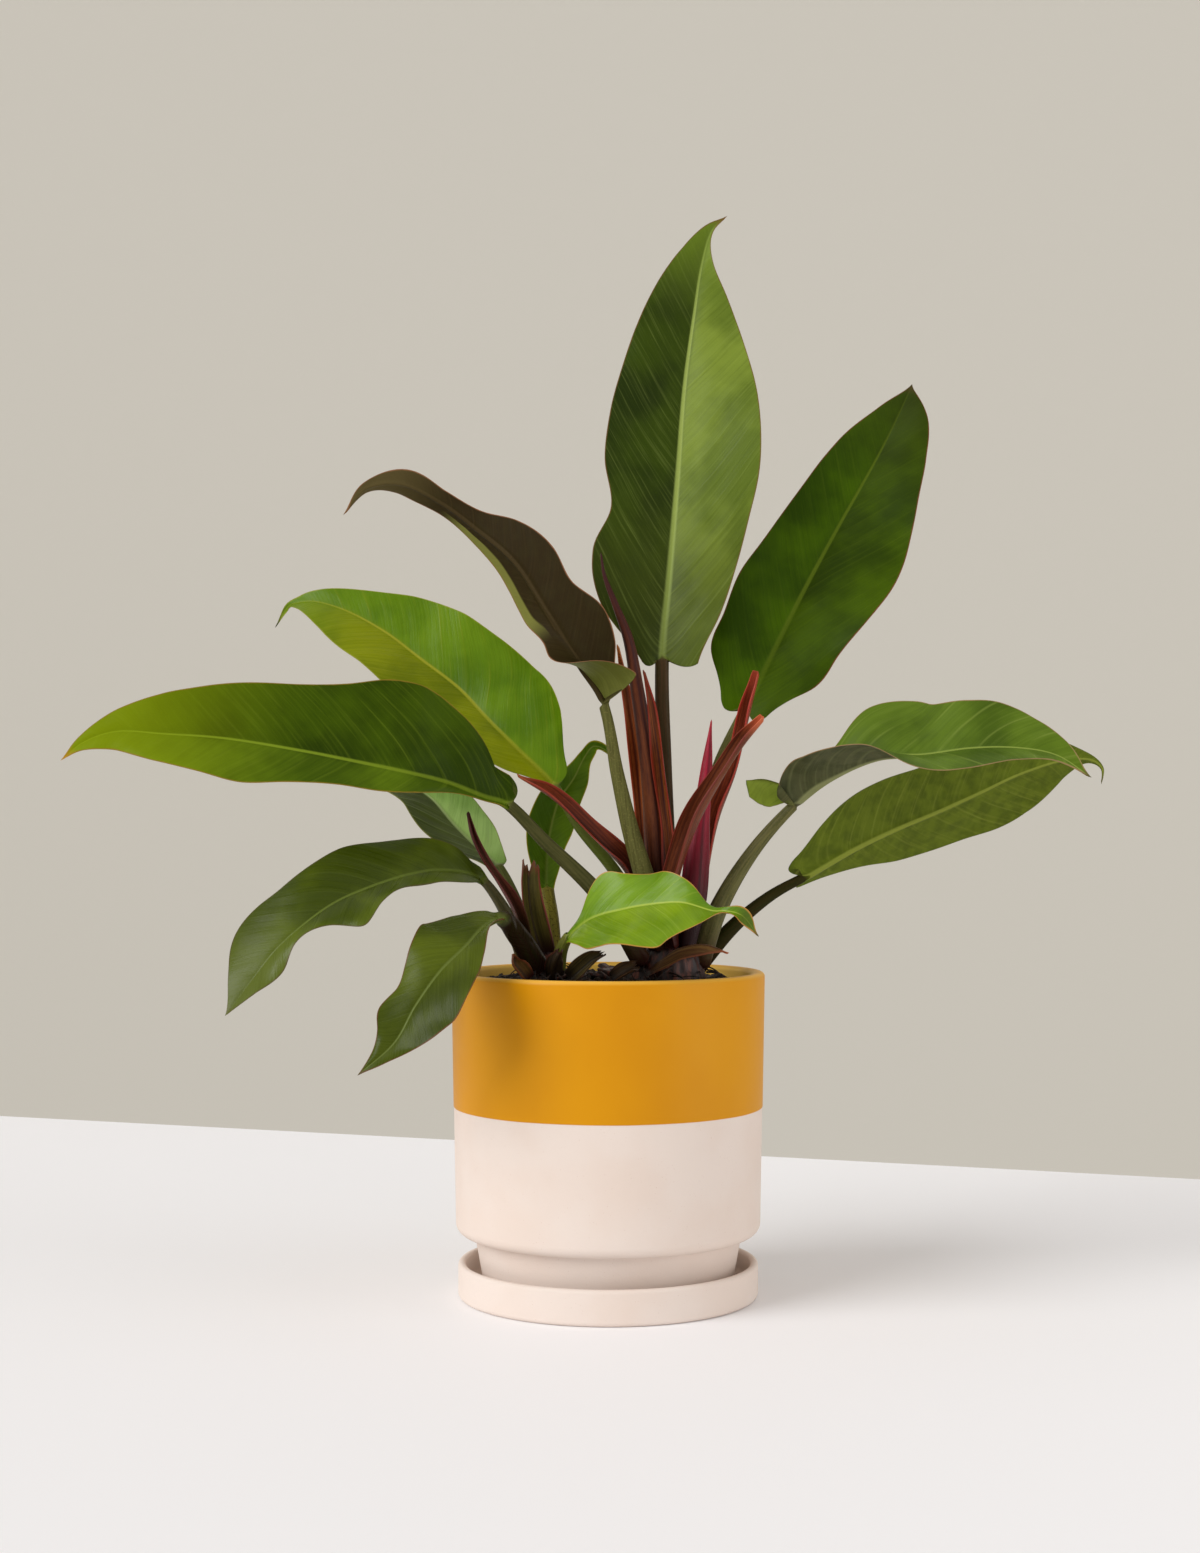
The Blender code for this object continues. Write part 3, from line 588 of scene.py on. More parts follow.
@dataclass(frozen=True)
class SheathFinish:
    """A sheath, scale or rolled leaf: long stripes, painted shade along its groove and an edge of another
    colour.
    """

    dark: Colour
    light: Colour
    edge: Colour
    tip: Colour
    base: Colour = (48, 16, 14)
    base_reach: float = 0.35
    tip_reach: float = 0.12
    stripes: float = 0.9
    roughness: float = 0.42

    def material(self, name: str, seed: float) -> bpy.types.Material:
        """The sheath's material.

        Args:
            name: The material's name.
            seed: Which patch of each pattern the piece takes.

        Returns:
            The finished material.
        """
        s = Shading(name)
        lamina, region = s.attribute("lamina"), s.attribute("region")
        across, _, edge = s.parts(lamina)
        share, under, _ = s.parts(region)
        long = s.stretch(lamina, (self.stripes, 0.02, 0.0), (seed * 3.1, seed * 1.7, seed))
        stripe = s.noise(long, 1.0, 4.0)
        grain = s.noise(s.stretch(lamina, (3.0, 0.25, 0.0), (seed, seed, seed)), 1.0, 3.0)
        colour = s.mix(s.step(stripe, 0.36, 0.64), self.dark, self.light)
        colour = s.mix(s.step(grain, 0.40, 0.66, 0.45), colour, self.dark)
        # Painted shade: the upper side darkens towards the base colour along the groove down the middle.
        groove = s.step(s.maths("ABSOLUTE", across), 1.2, 0.2, 0.55)
        colour = s.mix(s.maths("MULTIPLY", groove, s.maths("SUBTRACT", 1.0, under)), colour,
                       self.base)
        colour = s.mix(s.step(edge, 1.3, 0.3, 0.85), colour, self.edge)
        colour = s.mix(s.step(share, self.base_reach, self.base_reach * 0.1 - 0.02), colour,
                       self.base)
        colour = s.mix(s.step(share, 1.0 - self.tip_reach, 1.0, 0.9), colour, self.tip)
        ribs = s.bump(grain, 0.35, 0.0006)
        sheen = s.maths("MULTIPLY_ADD", stripe, 0.2, self.roughness - 0.1)
        return s.finish(
            Base_Color=colour, Normal=ribs, Roughness=sheen, Specular_IOR_Level=0.2
        )


@dataclass(frozen=True)
class CrownFinish:
    """The stump's wrapped leaf bases: burgundy brown, fibrous, paler on the ridges."""

    dark: Colour = (38, 16, 12)
    light: Colour = (106, 54, 38)

    def material(self, name: str) -> bpy.types.Material:
        """The finished crown material.

        Args:
            name: The material's name.

        Returns:
            The material.
        """
        s = Shading(name)
        at = s.place()
        fibre = s.noise(s.stretch(at, (1.0, 1.0, 0.16)), 420.0, 4.0)
        colour = s.mix(s.step(fibre, 0.42, 0.72), self.dark, self.light)
        normal = s.bump(fibre, 0.5, 0.0009)
        return s.finish(Base_Color=colour, Normal=normal, Roughness=0.55)


@dataclass(frozen=True)
class RootFinish:
    """Wiry roots and bark flecks: nearly black brown."""

    dark: Colour = (22, 15, 12)
    light: Colour = (74, 50, 36)
    roughness: float = 0.75

    def material(self, name: str) -> bpy.types.Material:
        """The finished root material.

        Args:
            name: The material's name.

        Returns:
            The material.
        """
        s = Shading(name)
        at = s.place()
        fibre = s.noise(at, 520.0, 3.0)
        colour = s.mix(s.step(fibre, 0.45, 0.72), self.dark, self.light)
        return s.finish(
            Base_Color=colour, Normal=s.bump(fibre, 0.4, 0.0004), Roughness=self.roughness
        )


class Growth:
    """A smooth route with a direction, a side and a facing at every length, in millimetres."""

    SAMPLES = 1600
    REACH = 1.5

    def __init__(self, points: tuple[Point, ...] | np.ndarray, face: tuple, joint: int = 0) -> None:
        """Lay the route.

        Args:
            points: What it passes through.
            face: How its upper side looks, at even steps from the joint to the end.
            joint: Which point is the joint of stalk and blade.
        """
        p = np.asarray(points, float)
        runs = np.linalg.norm(np.diff(p, axis=0), axis=1)
        knots = np.concatenate([[0], np.cumsum(runs**0.5)])
        steps = np.diff(knots)[:, None]
        rates = np.diff(p, axis=0) / steps
        slopes = np.empty_like(p)
        slopes[0], slopes[-1] = rates[0], rates[-1]
        slopes[1:-1] = (rates[:-1] * steps[1:] + rates[1:] * steps[:-1]) / (steps[:-1] + steps[1:])
        u = np.linspace(0, knots[-1], self.SAMPLES)
        i = np.clip(np.searchsorted(knots, u, side="right") - 1, 0, len(p) - 2)
        h = steps[i]
        t = (u - knots[i])[:, None] / h
        self.dense = (
            (2 * t**3 - 3 * t**2 + 1) * p[i]
            + (t**3 - 2 * t**2 + t) * h * slopes[i]
            + (3 * t**2 - 2 * t**3) * p[i + 1]
            + (t**3 - t**2) * h * slopes[i + 1]
        )
        pieces = np.linalg.norm(np.diff(self.dense, axis=0), axis=1)
        self.lengths = np.concatenate([[0], np.cumsum(pieces)])
        self.joint = float(np.interp(knots[joint], u, self.lengths))
        self.end = float(self.lengths[-1])
        self.face = np.asarray(face, float)

    def point(self, along: np.ndarray) -> np.ndarray:
        """The points at these lengths."""
        held = np.clip(along, 0, self.end)
        return np.stack([np.interp(held, self.lengths, axis) for axis in self.dense.T], axis=1)

    def even(self, count: int) -> np.ndarray:
        """Evenly spaced lengths from the start to the end."""
        return np.linspace(0, self.end, count)

    def share(self, along: np.ndarray) -> np.ndarray:
        """How far along the blade each length is: 0 at the joint, 1 at the tip, below 0 on the stalk."""
        past = (along - self.joint) / (self.end - self.joint)
        return np.where(past >= 0, past, (along - self.joint) / max(self.joint, 1.0))

    def frame(self, along: np.ndarray) -> tuple[np.ndarray, np.ndarray, np.ndarray, np.ndarray]:
        """The route's own axes.

        Args:
            along: Lengths along the route.

        Returns:
            Points, directions, sides and facings there.
        """
        ahead = unit(self.point(along + self.REACH) - self.point(along - self.REACH))
        looks = through(self.face, (along - self.joint) / (self.end - self.joint))
        facing = unit(looks - (looks * ahead).sum(axis=1)[:, None] * ahead)
        return self.point(along), ahead, np.cross(ahead, facing), facing


@dataclass
class Rings:
    """Closed rings of points round a growing piece, with what its finish needs to know."""

    points: np.ndarray
    lamina: np.ndarray
    region: np.ndarray

    def closed_ends(self, first: bool, last: bool) -> "Rings":
        """Draw an end ring in to its middle, so that the skin closes there.

        Args:
            first: Whether to close the first ring.
            last: Whether to close the last ring.

        Returns:
            These rings.
        """
        for wanted, index in ((first, 0), (last, -1)):
            if wanted:
                self.points[index] = self.points[index].mean(axis=0)
        return self


def reaches(count: int, crowding: float) -> np.ndarray:
    """Places across a blade from its left margin at -1 to its right at 1, closest at the rib."""
    even = np.linspace(-1, 1, count)
    return np.sign(even) * np.abs(even) ** crowding


def drawn_skin(name: str, rings: Rings, level: float, material: bpy.types.Material,
               smooth_angle: float = 60.0) -> bpy.types.Object:
    """A closed skin over rings: a flat grid is rolled into a tube, laid on the rings and welded.

    Args:
        name: The piece's name.
        rings: The rings, from one end to the other.
        level: The height of the planting level, in metres.
        material: The piece's finish.
        smooth_angle: Edges sharper than this stay sharp, in degrees.

    Returns:
        The finished piece.
    """
    rows, columns = rings.points.shape[:2]
    bm = bmesh.new()
    bmesh.ops.create_grid(bm, x_segments=columns, y_segments=rows - 1, size=1.0)
    layers = {
        "lamina": (bm.verts.layers.float_vector.new("lamina"), rings.lamina),
        "region": (bm.verts.layers.float_vector.new("region"), rings.region),
    }
    lift = Vector((0, 0, level))
    for vert in bm.verts:
        column = round((vert.co.x + 1) / 2 * columns) % columns
        row = round((vert.co.y + 1) / 2 * (rows - 1))
        vert.co = Vector(rings.points[row, column]) * MM + lift
        for layer, values in layers.values():
            vert[layer] = Vector(values[row, column])
    return finished(name, bm, material, smooth_angle)


def finished(name: str, bm: bmesh.types.BMesh, material: bpy.types.Material,
             smooth_angle: float = 40.0) -> bpy.types.Object:
    """Weld a bmesh, turn its faces outwards and make it a smooth-shaded object at the origin.

    Args:
        name: The piece's name.
        bm: Its mesh, which this uses up.
        material: Its finish.
        smooth_angle: Edges sharper than this stay sharp, in degrees.

    Returns:
        The new object.
    """
    bmesh.ops.remove_doubles(bm, verts=bm.verts, dist=WELD)
    bmesh.ops.dissolve_degenerate(bm, edges=bm.edges, dist=WELD)
    bmesh.ops.recalc_face_normals(bm, faces=bm.faces)
    if bm.calc_volume(signed=True) < 0:
        bmesh.ops.reverse_faces(bm, faces=bm.faces)
    mesh = bpy.data.meshes.new(name)
    bm.to_mesh(mesh)
    bm.free()
    mesh.shade_smooth()
    mesh.set_sharp_from_angle(angle=smooth_angle * DEGREE)
    mesh.materials.append(material)
    made = bpy.data.objects.new(name, mesh)
    bpy.context.scene.collection.objects.link(made)
    return made


def settle(piece: bpy.types.Object, slot: Slot, *nodes: str) -> bpy.types.Object:
    """Ride a piece on the frame, hide the CAD nodes that it stands for and log its material slot.

    Args:
        piece: The piece.
        slot: Its slot.
        nodes: The CAD nodes that it stands for.

    Returns:
        The piece.
    """
    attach(piece, ROOT_BODY)
    if nodes:
        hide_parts(*nodes)
    LOG.info("%s: %d faces, finish %s", piece.name, len(piece.data.polygons), slot.value)
    return piece


@dataclass
class Wave:
    """A wavy margin: how high, how long each wave is and where it starts, in millimetres."""

    height: float = 1.2
    length: float = 60.0
    start: float = 0.0


@dataclass
class Lamina:
    """A thin blade along a route: widths, folds and the ways that it waves, in millimetres."""

    left: Values
    right: Values
    fold_left: Values = (12.0,)
    fold_right: Values = (12.0,)
    curl: float = 0.0
    arch: float = 0.0
    lobe: float = 0.0
    shoulder: float = 0.0
    wave_left: Wave = field(default_factory=Wave)
    wave_right: Wave = field(default_factory=Wave)
    quilt: float = 0.0
    quilt_gap: float = 16.0
    quilt_slope: float = 1.0
    thickness: float = 0.75
    margin: float = 0.34
    rib: float = 1.7
    rib_width: float = 2.2
    groove: float = 0.35
    torn: float = 0.0
    columns: int = 41
    seed: float = 0.0

    LOBE_FADE = 8
    LEAST = 0.3

    def rings(self, growth: Growth, along: np.ndarray) -> Rings:
        """Closed rings round the blade.

        Args:
            growth: The route that it follows.
            along: The lengths of its stations.

        Returns:
            The rings: over the upper face from left to right, then back below.
        """
        share = growth.share(along)
        held = np.clip(share, 0, 1)
        place, ahead, side, facing = growth.frame(along)
        fade = smooth(held, 1.0, 0.86) * smooth(held, -0.02, 0.10)
        upper, lower = [], []
        for r in reaches(self.columns, 1.25):
            turn = math.copysign(1, r)
            out = abs(r)
            width = np.maximum(through(self.right if r > 0 else self.left, held), self.LEAST)
            fold = through(self.fold_right if r > 0 else self.fold_left, held) + self.arch / 2
            bend = np.full_like(fold, self.curl - self.arch) * DEGREE
            bend = np.where(np.abs(bend) < 1e-3, 1e-3, bend)
            fold = fold * DEGREE
            across = width / bend * (np.sin(fold + bend * out) - np.sin(fold))
            up = width / bend * (np.cos(fold) - np.cos(fold + bend * out))
            wave = self.wave_right if r > 0 else self.wave_left
            swing = np.sin(TURN * (along - wave.start) / wave.length)
            drift = sway(along / 95, np.full_like(along, r * 0.6), self.seed + turn)
            up = up + fade * out**2.2 * wave.height * (swing + 0.5 * drift)
            away = width * out
            lead = along - growth.joint - self.quilt_slope * away - VEIN_BEND * away**2
            swell = np.cos(TURN * lead / self.quilt_gap + 1.5 * drift)
            up = up + fade * self.quilt * swell * np.sin(math.pi * np.minimum(out * 1.08, 1))
            rib = (1 - held) ** 0.7
            near = np.exp(-((away / (self.rib_width * (0.35 + 0.65 * rib))) ** 2))
            up = up - self.groove * rib * near
            back = self.lobe * math.sin(0.6 * math.pi * out) - self.shoulder * out**4
            back = back * (1 - held) ** self.LOBE_FADE
            back = back + self.torn * smooth(held, 0.8, 1.0) * sway(
                np.full_like(held, 2.1 * r), 0 * held, self.seed)
            tilt = fold + bend * out
            point = place + side * (turn * across)[:, None] + facing * up[:, None]
            point = point - ahead * back[:, None]
            outward = facing * np.cos(tilt)[:, None] - side * (turn * np.sin(tilt))[:, None]
            thick = self.margin + (self.thickness - self.margin) * (1 - out**3)
            thick = thick + self.rib * rib * near
            thick = thick * smooth(held, 1.0, 0.985)
            edge = width * (1 - out)
            lamina = np.stack([turn * away, along - growth.joint, edge], axis=1)
            upper.append((point, lamina, share, 0.0))
            lower.append((point - outward * thick[:, None], lamina, share, 1.0))
        order = upper + lower[::-1]
        zones = [np.stack([row[2], np.full_like(row[2], row[3]), np.ones_like(row[2])], axis=1)
                 for row in order]
        return Rings(
            np.stack([row[0] for row in order], axis=1),
            np.stack([row[1] for row in order], axis=1),
            np.stack(zones, axis=1),
        )


@dataclass
class Tongue(Lamina):
    """A sheath's or scale's blade: thicker, with a finer rib."""

    thickness: float = 1.1
    margin: float = 0.5
    rib: float = 0.5
    groove: float = 0.5
    columns: int = 25


@dataclass
class Stem:
    """A round stalk, root or rolled leaf along a route, in millimetres."""

    sizes: Values
    flatness: float = 0.85
    groove: float = 0.0
    furl: float = 0.0
    points: int = 24

    def rings(self, growth: Growth, along: np.ndarray) -> Rings:
        """Closed rings round the stem, in the same order as a blade's.

        Args:
            growth: The route that it follows.
            along: The lengths of its stations.

        Returns:
            The rings.
        """
        place, _, side, facing = growth.frame(along)
        share = growth.share(along)
        reach = growth.joint if growth.joint > 0 else growth.end
        sizes = through(self.sizes, along / reach)
        rows, lamina = [], []
        for k in range(self.points):
            angle = math.pi - (k + 0.5) * TURN / self.points
            top = math.exp(-(((angle - math.pi / 2) / 0.42) ** 2))
            lap = math.exp(-(((angle - math.pi * 0.30) / 0.16) ** 2))
            size = sizes * (1 - self.groove * top - self.furl * lap)
            across, up = math.cos(angle), math.sin(angle) * self.flatness
            rows.append(place + side * (across * size)[:, None] + facing * (up * size)[:, None])
            lamina.append(np.stack([
                (angle - math.pi / 2) * sizes, along - growth.joint, np.full_like(along, 9.0),
            ], axis=1))
        lower = [float(k >= self.points // 2) for k in range(self.points)]
        zones = [np.stack([share, np.full_like(share, low), np.zeros_like(share)], axis=1)
                 for low in lower]
        return Rings(np.stack(rows, axis=1), np.stack(lamina, axis=1), np.stack(zones, axis=1))
def grown(node: str, slot: Slot, rings: Rings, level: float,
          material: bpy.types.Material) -> bpy.types.Object:
    """A skin over rings, settled in place of its CAD node.

    Args:
        node: The CAD node.
        slot: Its material slot, which is logged.
        rings: The rings.
        level: The height of the planting level, in metres.
        material: The piece's finish.

    Returns:
        The settled piece.
    """
    return settle(drawn_skin(node + "_grown", rings, level, material), slot, node)


@dataclass
class Leaf:
    """A leaf grown in one piece: its stalk runs into the blade's rib. Its points are in millimetres."""

    node: str
    slot: Slot
    stalk: tuple[Point, ...]
    blade: tuple[Point, ...]
    face: tuple[Point, ...]
    stalk_size: tuple[float, float]
    lamina: Lamina
    finish: LeafFinish
    stalk_groove: float = 0.12
    stalk_stations: int = 26
    joint_stations: int = 15
    blade_stations: int = 112
    joint_reach: float = 4.0
    fade: tuple[float, float] = (-2.6, 2.2)

    def stations(self, growth: Growth) -> np.ndarray:
        """Lengths along the route, closest together at the joint.

        Args:
            growth: The route.

        Returns:
            The lengths.
        """
        before, after = growth.joint - self.joint_reach, growth.joint + self.joint_reach
        spread = np.linspace(0, 1, self.blade_stations)[1:] ** 1.04
        return np.concatenate([
            np.linspace(0, before, self.stalk_stations),
            np.linspace(before, after, self.joint_stations)[1:],
            after + (growth.end - after) * spread,
        ])

    def rings(self) -> Rings:
        """The stalk's round rings, turning into the blade's thin ones round the joint."""
        growth = Growth(self.stalk + self.blade, self.face, joint=len(self.stalk))
        along = self.stations(growth)
        stem = Stem(self.stalk_size, groove=self.stalk_groove, points=2 * self.lamina.columns)
        first, last = stem.rings(growth, along), self.lamina.rings(growth, along)
        start, end = (growth.joint + reach for reach in self.fade)
        weight = smooth(along, start, end)[:, None, None]
        blended = Rings(*(
            getattr(first, part) * (1 - weight) + getattr(last, part) * weight
            for part in ("points", "lamina", "region")
        ))
        return blended.closed_ends(first=True, last=True)

    def make(self, level: float) -> bpy.types.Object:
        """Build, dress and settle the leaf, at the planting level given in metres."""
        material = self.finish.material(self.node + "_finish", self.lamina)
        return grown(self.node, self.slot, self.rings(), level, material)


@dataclass
class BaseLobe:
    """A curled lobe behind a leaf's joint: a short blade of its own, in millimetres."""

    name: str
    slot: Slot
    route: tuple[Point, ...]
    face: tuple[Point, ...]
    lamina: Lamina
    finish: LeafFinish
    stations: int = 40

    def make(self, level: float) -> bpy.types.Object:
        """Build, dress and settle the lobe.

        Args:
            level: The height of the planting level, in metres.

        Returns:
            The settled piece.
        """
        growth = Growth(self.route, self.face)
        rings = self.lamina.rings(growth, growth.even(self.stations))
        material = self.finish.material(self.name + "_finish", self.lamina)
        closed = rings.closed_ends(first=True, last=True)
        return settle(drawn_skin(self.name, closed, level, material), self.slot)


@dataclass
class Sheath:
    """A grooved tongue that once wrapped a young leaf. A rooted one stands on the soil at its foot."""

    node: str
    slot: Slot
    route: tuple[Point, ...]
    face: tuple[Point, ...]
    lamina: Tongue
    finish: SheathFinish
    rooted: bool = False
    stations: int = 70

    def make(self, soil: "PottingSoil", level: float) -> bpy.types.Object:
        """Build, dress and settle the sheath.

        Args:
            soil: The soil that a rooted one stands on.
            level: The height of the planting level, in metres.

        Returns:
            The settled piece.
        """
        route = np.array(self.route, float)
        if self.rooted:
            foot = math.hypot(*route[0, :2]) * MM
            route[:, 2] += (soil.surface(foot) - level) / MM
        growth = Growth(route, self.face)
        rings = self.lamina.rings(growth, growth.even(self.stations))
        material = self.finish.material(self.node + "_finish", self.lamina.seed)
        return grown(self.node, self.slot, rings.closed_ends(True, False), level, material)


@dataclass
class Spike:
    """A young leaf still rolled to a spike, its free edge lapping round it, in millimetres."""

    node: str
    slot: Slot
    route: tuple[Point, ...]
    sizes: Values
    finish: SheathFinish
    furl: float = 0.16
    seed: float = 0.0
    stations: int = 90
    points: int = 48

    def make(self, level: float) -> bpy.types.Object:
        """Build, dress and settle the spike.

        Args:
            level: The height of the planting level, in metres.

        Returns:
            The settled piece.
        """
        growth = Growth(self.route, ROUND_FACE)
        stem = Stem(self.sizes, flatness=1.0, furl=self.furl, points=self.points)
        rings = stem.rings(growth, growth.even(self.stations)).closed_ends(True, True)
        material = self.finish.material(self.node + "_finish", self.seed)
        return grown(self.node, self.slot, rings, level, material)


@dataclass
class Crown:
    """The stump that the leaves grow from, ringed by the scars of old leaf bases, in millimetres."""

    node: str
    centre: tuple[float, float]
    radii: tuple[float, float]
    height: float
    ridges: int
    sink: float = 9.0
    around: int = 96
    up: int = 56
    scars: float = 2.6

    def make(self, level: float) -> bpy.types.Object:
        """Build, dress and settle the crown.

        Args:
            level: The height of the planting level, in metres.

        Returns:
            The settled piece.
        """
        bm = bmesh.new()
        bmesh.ops.create_uvsphere(bm, u_segments=self.around, v_segments=self.up, radius=1.0)
        for vert in bm.verts:
            x, y, z = vert.co
            bearing = math.atan2(y, x)
            ridge = math.sin(self.ridges * bearing + 3.0 * z)
            scar = math.sin(TURN * (z * self.scars + 0.25 * math.sin(bearing * 2)))
            rough = noise.noise(vert.co * 5.0)
            swell = 1 - 0.018 * (1 - ridge) - 0.02 * (1 - scar) - 0.03 * (1 - rough)
            tall = self.height if z > 0 else self.sink
            vert.co = Vector((
                self.centre[0] + x * self.radii[0] * swell,
                self.centre[1] + y * self.radii[1] * swell,
                z * tall * swell,
            )) * MM + Vector((0, 0, level))
        piece = finished(self.node + "_grown", bm, CrownFinish().material(self.node + "_finish"))
        return settle(piece, Slot.CROWN, self.node)


def arc(centre: Spot, radius: float, start: float, end: float,
        steps: int) -> list[Spot]:
    """Points on an arc.

    Args:
        centre: The arc's centre, (r, z).
        radius: Its radius.
        start: The angle that it starts at, in degrees.
        end: The angle that it ends at, in degrees.
        steps: How many straight steps it takes.

    Returns:
        The points, (r, z).
    """
    angles = [math.radians(start + (end - start) * i / steps) for i in range(steps + 1)]
    return [(centre[0] + radius * math.cos(a), centre[1] + radius * math.sin(a)) for a in angles]


def fine(profile: list[Spot], most: float = LONGEST_STEP) -> list[Spot]:
    """A profile with its long stretches cut into short steps.

    Args:
        profile: Its points, (r, z).
        most: The longest step.

    Returns:
        The points, with the new ones among them.
    """
    points = [profile[0]]
    for (r0, z0), (r1, z1) in zip(profile, profile[1:]):
        count = max(1, math.ceil(math.hypot(r1 - r0, z1 - z0) / most))
        points += [(r0 + (r1 - r0) * i / count, z0 + (z1 - z0) * i / count)
                   for i in range(1, count + 1)]
    return points


def turned(profile: list[Spot], closed: bool, steps: int = 192) -> bmesh.types.BMesh:
    """A profile spun once round the Z axis.

    Args:
        profile: Its points, (r, z).
        closed: Whether the last point joins the first.
        steps: How many steps the spin takes.

    Returns:
        The spun mesh, not yet welded.
    """
    bm = bmesh.new()
    verts = [bm.verts.new((r, 0, z)) for r, z in profile]
    edges = [bm.edges.new(pair) for pair in zip(verts, verts[1:])]
    if closed:
        edges.append(bm.edges.new((verts[-1], verts[0])))
    bmesh.ops.spin(
        bm, geom=verts + edges, cent=(0, 0, 0), axis=(0, 0, 1), dvec=(0, 0, 0),
        angle=TURN, steps=steps, use_merge=True, use_duplicate=False,
    )
    bmesh.ops.remove_doubles(bm, verts=bm.verts, dist=WELD)
    return bm


@dataclass
class PotAndSaucer:
    """The fired pot, glazed above its line and bare below, on its bare clay saucer. Metres."""

    base: float = 0.0053
    radius: float = 0.085
    height: float = 0.1692
    taper: float = 0.0024
    wall: float = 0.0062
    floor: float = 0.0090
    lip_round: float = 0.0026
    shoulder_height: float = 0.0285
    shoulder_round: float = 0.0062
    foot_inset_top: float = 0.0130
    foot_inset_base: float = 0.0175
    foot_ring: float = 0.0070
    foot_recess: float = 0.0028
    drain_radius: float = 0.0060
    glaze_line: float = 0.1020
    glaze_coat: float = 0.0003
    saucer_radius: float = 0.0810
    saucer_height: float = 0.0187
    saucer_wall: float = 0.0042
    saucer_floor: float = 0.0050
    saucer_edge: float = 0.0020
    saucer_chamfer: float = 0.0012
    arc_steps: int = 10

    @property
    def top(self) -> float:
        """The rim's height."""
        return self.base + self.height

    @property
    def shoulder_top(self) -> float:
        """Where the shoulder's round ends and the wall begins."""
        return self.base + self.shoulder_height + self.shoulder_round

    def wall_radius(self, z: float) -> float:
        """The outer wall's radius at a height: it narrows a little from rim to shoulder."""
        return self.radius - self.taper * (self.top - z) / (self.top - self.shoulder_top)

    def hollow(self, gap: float) -> list[Spot]:
        """The pot's hollow from floor to neck.

        Args:
            gap: How far it is drawn in from the clay.

        Returns:
            Its profile, (r, z).
        """
        foot = self.radius - self.foot_inset_base - self.wall - gap
        neck = self.radius - self.foot_inset_top - self.wall - gap
        ledge = self.base + self.shoulder_height + self.wall + gap
        rise = ledge + self.shoulder_round
        return [
            (foot, self.base + self.floor + gap),
            (neck, ledge),
            (self.wall_radius(rise) - self.wall - gap, rise),
        ]

    def outside(self) -> list[Spot]:
        """The pot's outer side from the rim down to the shoulder: the glaze stands a coat proud."""
        coat, line = self.glaze_coat, self.glaze_line
        bare = self.wall_radius(line) - coat
        shoulder = (self.wall_radius(self.shoulder_top) - coat - self.shoulder_round,
                    self.shoulder_top)
        return (
            arc((self.radius - self.lip_round, self.top - self.lip_round), self.lip_round,
                90, 0, self.arc_steps)
            + [(self.wall_radius(line + 2 * coat), line + 2 * coat)]
            + arc((bare, line + coat), coat, 0, -80, 4)
            + arc(shoulder, self.shoulder_round, 0, -90, self.arc_steps)
        )

    def foot(self) -> list[Spot]:
        """The foot's profile from the shoulder's underside to the drain hole."""
        shoulder_z = self.base + self.shoulder_height
        top = self.radius - self.foot_inset_top
        base = self.radius - self.foot_inset_base
        cove = 0.0014
        return arc((top + cove, shoulder_z - cove), cove, 90, 170, 4) + [
            (base, self.base + self.foot_recess),
            (base - self.foot_recess * 0.35, self.base + self.foot_recess * 0.35),
            (base - self.foot_recess, self.base),
            (base - self.foot_ring, self.base),
            (base - self.foot_ring - self.foot_recess, self.base + self.foot_recess),
            (self.drain_radius, self.base + self.foot_recess),
            (self.drain_radius, self.base + self.floor),
        ]

    def pot(self) -> bpy.types.Object:
        """Build, dress and settle the pot."""
        inner = self.radius - self.wall + self.lip_round
        lip_in = arc((inner, self.top - self.lip_round), self.lip_round, 180, 90, self.arc_steps)
        profile = fine(self.outside() + self.foot() + self.hollow(0) + lip_in)
        bm = turned(profile[:-1], closed=True)
        glaze = TwoToneGlaze(self.glaze_line, self.top, self.radius - self.wall)
        piece = finished("pot_fired", bm, glaze.material("two_tone_glaze"), 50.0)
        return settle(piece, Slot.TWO_TONE_POT, "pot")

    def saucer(self) -> bpy.types.Object:
        """Build, dress and settle the saucer."""
        radius, edge, floor = self.saucer_radius, self.saucer_edge, self.saucer_floor
        inner = radius - self.saucer_wall
        well = self.saucer_wall
        profile = [(0, floor)] + arc((inner - well, floor + well), well, 270, 360, self.arc_steps)
        profile += arc((inner + edge, self.saucer_height - edge), edge, 180, 90, self.arc_steps)
        profile += arc((radius - edge, self.saucer_height - edge), edge, 90, 0, self.arc_steps)
        chamfer = self.saucer_chamfer * 2
        profile += arc((radius - chamfer, chamfer), chamfer, 0, -90, 6) + [(0, 0)]
        bm = turned(fine(profile), closed=False)
        piece = finished("saucer_fired", bm, BareClay().material("bare_clay"), 50.0)
        return settle(piece, Slot.BARE_CLAY, "saucer")


@dataclass(frozen=True)
class Litter:
    """Loose bits on the soil: how many, how big (low and high, in millimetres) and how steep."""

    name: str
    count: int
    low: Point
    high: Point
    finish: "PottingMix | RootFinish"
    lean: float = 0.5
    chips: bool = False
    bury: float = 0.3
    centre: Spot = (0.0, 0.0)
    spread: Spot = (74.0, 74.0)


